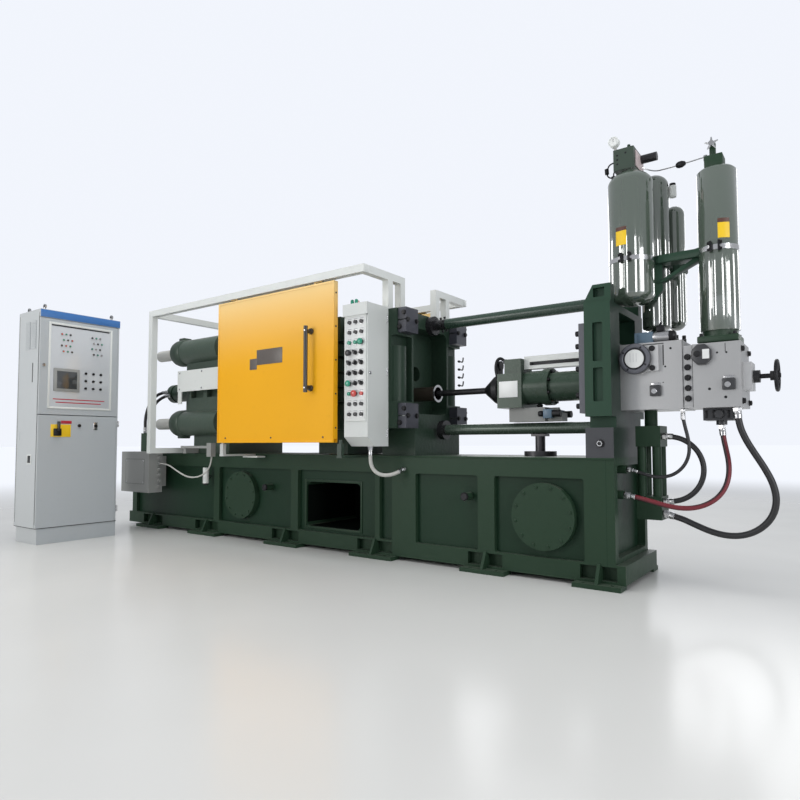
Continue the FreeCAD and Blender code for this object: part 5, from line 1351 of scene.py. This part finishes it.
def makeShotEnd():
    spots = [("-x", (1.197, side * 0.252, z)) for side in (-1, 1) for z in (1.36, 1.29, 1.165, 1.02,
        0.96)]
    studs("mounting_bolts", spots, 0.016, 0.026, sides=16, collar=1.15, cap=0.55)
    flange = ring((0.8835, 0, shotAxis), "x", 0.099, 8, 0.39)
    studs("flange_bolts", [("+x", (0.932, at[1], at[2])) for at in flange], 0.0095, 0.012, sides=16,
          collar=1.15)
    plate = Solid("whiteFace")
    for side in (-1, 1):
        deep = layer(0, side, 0.1140, 0.1120)
        plate.use("whiteFace").box((0.618, deep[0], 1.040), (0.745, deep[1], 1.140), 0.0006)
        slot = layer(0, side, 0.0312, 0.030)
        plate.use("black").box((0.790, slot[0], 1.238), (1.190, slot[1], 1.256), 0.0003)
        ends = (slot[0] - 0.010, slot[1]) if side < 0 else (slot[0], slot[1] + 0.010)
        plate.use("black").rod((0.800, ends[0], clampAxis), (0.800, ends[1], clampAxis), 0.008)
    plate.use("black").pipe(((0.625, -0.030, 1.270), (0.600, -0.036, 1.300), (0.572, -0.045, 1.290),
                             (0.562, -0.050, 1.240),
                             (0.575, -0.055, 1.180), (0.606, -0.060, 1.140)), 0.010)
    plate.use("darkCast").lathe((0.625, -0.030, 1.262), (0, 0, 1),
                                ((0, 0.018), (0.020, 0.018), (0.026, 0.012)), 6)
    plate.done("shot_end_plates", slot="steel_bright")
    under = Extent("under_manifold")
    valves = Solid("blueGrey")
    for side in (-1, 1):
        face = under.front if side < 0 else under.back
        y = layer(face, side, 0.045)
        valves.use("blueGrey").box((0.905, y[0], 0.905), (0.960, y[1], 0.960), 0.004)
        valves.use("black").rod((0.955, face + side * 0.022, 0.934), (1.010, face + side * 0.022, 0.934),
                                0.021)
        valves.use("black").rod((0.895, face + side * 0.022, 0.934), (0.870, face + side * 0.022, 0.934),
                                0.017)
    valves.use("black").lathe((0.84, 0, under.top), (0, 0, 1),
                              ((0, 0.016), (0.016, 0.020), (0.022, 0.014)), 16)
    valves.done("under_valves", slot="steel_dark")
    spots = [(way, (1.315, side * 0.305, 0.755)) for side, way in ((-1, "-y"), (1, "+y"))]
    studs("column_foot_bolts", spots, 0.017, 0.018, sides=6, collar=1.3,
          words=("black", "ground", "black"))
    collars = []
    for z in (1.573, 0.849):
        for x, way in ((1.195, "-x"), (0.135, "+x")):
            collars += [(way, at) for at in ring((x, 0, z), "x", 0.050, 6, 0.3)]
    studs("collar_bolts", collars, 0.008, 0.010, sides=12, collar=1.1)
    jack = Extent("support_jack")
    nuts = Solid("black").lathe((0.840, 0, jack.bottom + 0.012), (0, 0, 1),
                                ((0, 0.060), (0.014, 0.060), (0.018, 0.056)), 6)
    nuts.done("jack_nut", slot="steel_dark")


def makeTailDetail():
    tail = Extent("tail_platen")
    spots = []
    for y, z in barPlaces:
        spots += [("-x", at) for at in ring((tail.left, y, z), "x", 0.088, 8, 0.39)]
    studs("drum_bolts", spots, 0.010, 0.010, sides=6)
    # painted light: the collars take the tail platen's lightened green
    drums = Solid("drumGreenPaintedLight")
    for y, z in barPlaces:
        drums.lathe((tail.left, y, z), (1, 0, 0), (
            (0.020, 0.1075), (0.026, 0.116), (0.110, 0.118), (0.124, 0.110), (0.124, 0.1075),
            (0.020, 0.1075)), 56)
        rise = 0.104 if z > clampAxis else -0.104
        low, high = sorted((z + rise, z + rise * 1.26))
        drums.box((tail.left + 0.030, y - 0.040, low), (tail.left + 0.105, y + 0.040, high), 0.006)
    drums.done("drum_collars", slot="machine_green")
    caps = Solid("tubeGrey")
    for y, z in barPlaces:
        caps.use("tubeGrey").lathe((-2.7455, y, z), (1, 0, 0), (
            (0, 0.044), (0, 0.049), (0.006, 0.0495), (0.26, 0.0495), (0.262, 0.049)), 48)
        caps.use("black").lathe((-2.7450, y, z), (-1, 0, 0), (
            (-0.002, 0.0485), (0.0002, 0.047), (0.0004, 0.0)), 48)
    caps.done("bar_covers", slot="frame_grey")
    cover = Solid("paleGrey")
    for side in (-1, 1):
        y = side * 0.414
        for x in (-2.30, -1.99, -1.66):
            for z in (1.225, 1.364):
                cover.use("ground").rod((x, y, z), (x, y + side * 0.003, z), 0.008, 16)
    cover.done("side_cover_screws", slot="frame_grey")
    spots = [("-x", at) for at in ring((-2.969, 0, clampAxis), "x", 0.064, 8, 0.2)]
    studs("cylinder_end_bolts", spots, 0.009, 0.010, sides=16)
    box = Extent("junction_box")
    lid = Solid("boxGrey")
    lid.use("darkLine").hollow((-2.975, box.front - 0.0008, 0.405), (-2.675, box.front, 0.625), 0.002,
                               0.0008, 1, 0)
    for x in (-2.960, -2.690):
        for z in (0.420, 0.610):
            lid.use("ground").rod((x, box.front - 0.003, z), (x, box.front, z), 0.006, 16)
    lid.done("junction_lid", slot="box_grey")
    glands = [("+x", (-2.640, -0.440, 0.385 + 0.05 * n)) for n in range(6)]
    studs("spare_glands", glands, 0.011, 0.020, sides=6,
          words=("boxGrey", "paleGrey", "black"))
    for name, body in (("tail_link_upper", "tail_link_top"), ("tail_link_lower", "tail_link_bottom"),
                       ("front_link_upper", "front_link_top"), ("front_link_lower", "front_link_bottom")):
        link = Extent(name)
        x = (link.left + link.right) / 2
        z = link.top
        studs(name + "_grease_nipples", [("+z", (x + 0.02 * s, side * 0.12, z - 0.006)) for side in (-1,
            1) for s in (-1, 1)],
              0.006, 0.012, body=body, sides=6)


def makeRailDetail():
    rails = Extent("top_rails")
    for body, side in (("front_door_panel", -1), ("rear_door_panel", 1)):
        hang = Solid("steelDark")
        for x in (-1.35, -0.45):
            y = side * 0.600
            low = 1.806
            hang.use("steelDark").box((x - 0.035, y - 0.004, low - 0.012),
                                      (x + 0.035, y + 0.004, 1.8335 - 0.004), 0.001)
            hang.use("black").rod((x - 0.02, y + side * 0.004, low + 0.004),
                                  (x - 0.02, y + side * 0.009, low + 0.004), 0.006)
            hang.rod((x + 0.02, y + side * 0.004, low + 0.004), (x + 0.02, y + side * 0.009, low + 0.004),
                     0.006)
        hang.done(body + "_hangers", body=body, slot="steel_dark")
    caps = Solid("paleGrey")
    for side in (-1, 1):
        y = side * 0.600
        for x in (-0.052, -2.382):
            deep = sorted((x, x + (0.004 if x > -1 else -0.004)))
            caps.box((deep[0], y - 0.024, rails.bottom + 0.001), (deep[1], y + 0.024, rails.top - 0.001),
                     0.001)
        if side > 0:
            caps.use("darkLine").box((-2.380, y + side * 0.0251, rails.bottom + 0.018),
                                     (-0.06, y + side * 0.0256, rails.bottom + 0.020), 0)
    caps.done("rail_ends", slot="frame_grey")


# hoses and cables: the route's points, in millimetres as they are laid out
hoses = {
    "loop_hose": {"across": 28, "length": 0.607, "finish": "rubber", "slot": "hose_black", "route": (
        (1562, -40, 794), (1618, -41, 792), (1671, -42, 776), (1716, -43, 744), (1749, -44, 700),
        (1767, -45, 647),
        (1767, -45, 591), (1749, -44, 538), (1716, -43, 494), (1671, -42, 462), (1618, -41, 446),
        (1562, -40, 444))},
    "pilot_hose": {"across": 18, "length": 0.615, "finish": "rubber", "slot": "hose_black", "route": (
        (1685, -108, 935), (1685, -108, 888), (1694, -109, 841), (1705, -110, 795), (1713, -112, 748),
        (1712, -115, 700), (1697, -118, 655), (1669, -120, 617), (1631, -124, 590), (1585, -128, 578),
        (1538, -130, 579), (1492, -132, 591), (1446, -133, 606), (1400, -133, 616))},
    "red_hose": {"across": 26, "length": 0.866, "finish": "redRubber", "slot": "hose_red", "route": (
        (1850, -5, 851), (1857, -10, 785), (1871, -23, 720), (1884, -39, 657), (1886, -58, 593),
        (1871, -77, 530),
        (1836, -98, 478), (1784, -120, 442), (1723, -139, 424), (1658, -155, 424), (1594, -169, 437),
        (1530, -181, 455), (1466, -190, 471), (1400, -190, 482))},
    "large_hose": {"across": 32, "length": 1.136, "finish": "rubber", "slot": "hose_black", "route": (
        (1935, -100, 935), (1941, -100, 854), (1968, -97, 777), (2007, -94, 705), (2048, -91, 634),
        (2082, -88, 559),
        (2095, -83, 479), (2076, -78, 401), (2025, -73, 338), (1954, -67, 298), (1873, -61, 288),
        (1793, -55, 303),
        (1717, -50, 333), (1642, -43, 364), (1562, -40, 380))},
    "return_hose": {"across": 28, "length": 0.502, "finish": "rubber", "slot": "hose_black", "route": (
        (-2988, -87, 1258), (-2993, -149, 1248), (-3003, -201, 1216), (-3017, -237, 1166),
        (-3031, -259, 1108),
        (-3045, -270, 1048), (-3055, -273, 986), (-3061, -270, 923), (-3064, -264, 860))},
    "pressure_hose": {"across": 28, "length": 0.457, "finish": "rubber", "slot": "hose_black", "route": (
        (-2955, -86, 1228), (-2958, -141, 1211), (-2967, -188, 1180), (-2980, -223, 1137),
        (-2992, -248, 1086),
        (-3001, -261, 1031), (-3008, -266, 975), (-3011, -265, 917), (-3012, -262, 860))},
    "panel_conduit": {"across": 24, "length": 0.387, "finish": "paleCable", "slot": "conduit_pale",
                      "route": (
        (-112, -478, 740), (-113, -479, 697), (-113, -482, 653), (-103, -481, 611), (-80, -470, 576),
        (-49, -447, 557), (-19, -416, 555), (6, -382, 564), (22, -345, 580), (30, -305, 594))},
    "switch_cable": {"across": 12, "length": 0.862, "finish": "paleCable", "slot": "conduit_pale",
                     "route": (
        (-1818, -430, 655), (-1829, -430, 595), (-1865, -431, 544), (-1917, -433, 511),
        (-1975, -435, 491),
        (-2036, -436, 481), (-2098, -438, 481), (-2159, -438, 490), (-2218, -437, 507),
        (-2277, -434, 526),
        (-2336, -429, 545), (-2394, -422, 564), (-2454, -414, 576), (-2515, -407, 583),
        (-2577, -405, 585))},
}


def layHose(name, facts):
    route = [[c / 1000 for c in at] for at in facts["route"]]
    curve = bentLine(name + "_line", route, facts["across"] / 2000, 6)
    curve.splines[0].resolution_u = 8
    curve.materials.append(finishes[facts["finish"]])
    piece = bpy.data.objects.new(name + "_laid", curve)
    scene.collection.objects.link(piece)
    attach(piece, "machine")
    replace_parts(piece, name)
    return piece


def makeHoses():
    for name, facts in hoses.items():
        piece = layHose(name, facts)
        limp = facts["slot"] == "conduit_pale"
        [c / 1000 for c in facts["route"][0]]
        facts["across"] / 1000
    print("hoses:", len(hoses))


# floor and backdrop
backdrop = (0.885, 0.915, 0.98)


def makeFloor():
    finish = Finish("paleFloor", specular=0.38, glowStrength=1.0)
    speck = finish.noise(1.1, 3.0)
    away = finish.node("ShaderNodeVectorMath", {"operation": "LENGTH"}, _0=finish.place)["Value"]
    far = ((away - 4.5) / 7.0).limited()
    far = far * far * (3 - 2 * far)
    ground = finish.mix(speck, (0.60, 0.60, 0.585), (0.64, 0.64, 0.625))
    finish.set(colour=finish.mix(far, ground, (0.0, 0.0, 0.0)), roughness=speck * 0.08 + 0.17 + far * 0.8,
               glow=finish.mix(far, (0.0, 0.0, 0.0), backdrop))
    mesh = bpy.data.meshes.new("floor")
    reach = 200
    mesh.from_pydata([(-reach, -reach, 0), (reach, -reach, 0), (reach, reach, 0), (-reach, reach, 0)], [],
                     [(0, 1, 2, 3)])
    mesh.materials.append(finish.material)
    linked("floor", mesh)
    world = bpy.data.worlds.new("studio")
    scene.world = world
    world.use_nodes = True
    # the backdrop is brighter than the light it gives
    wires = world.node_tree
    fill = wires.nodes["Background"]
    fill.inputs["Color"].default_value = (0.92, 0.95, 1.0, 1.0)
    fill.inputs["Strength"].default_value = 0.55
    seen = wires.nodes.new("ShaderNodeBackground")
    seen.inputs["Color"].default_value = (*backdrop, 1.0)
    path = wires.nodes.new("ShaderNodeLightPath")
    choice = wires.nodes.new("ShaderNodeMixShader")
    wires.links.new(path.outputs["Is Camera Ray"], choice.inputs[0])
    wires.links.new(fill.outputs[0], choice.inputs[1])
    wires.links.new(seen.outputs[0], choice.inputs[2])
    wires.links.new(choice.outputs[0], wires.nodes["World Output"].inputs[0])


makeCamera()
makeLights()
makeCards()
makeFloor()
makeHoses()
for make in (makeBottles, makeBottleFittings, makeManifoldDetail, makeHoseFittings, makeControlPanel,
             makeCabinetDetail, makeDoorDetail, makeBaseDetail, makePlatenDetail, makeShotEnd,
             makeTailDetail,
             makeRailDetail):
    make()
    print("made:", make.__name__)
scene.view_settings.view_transform = "Standard"
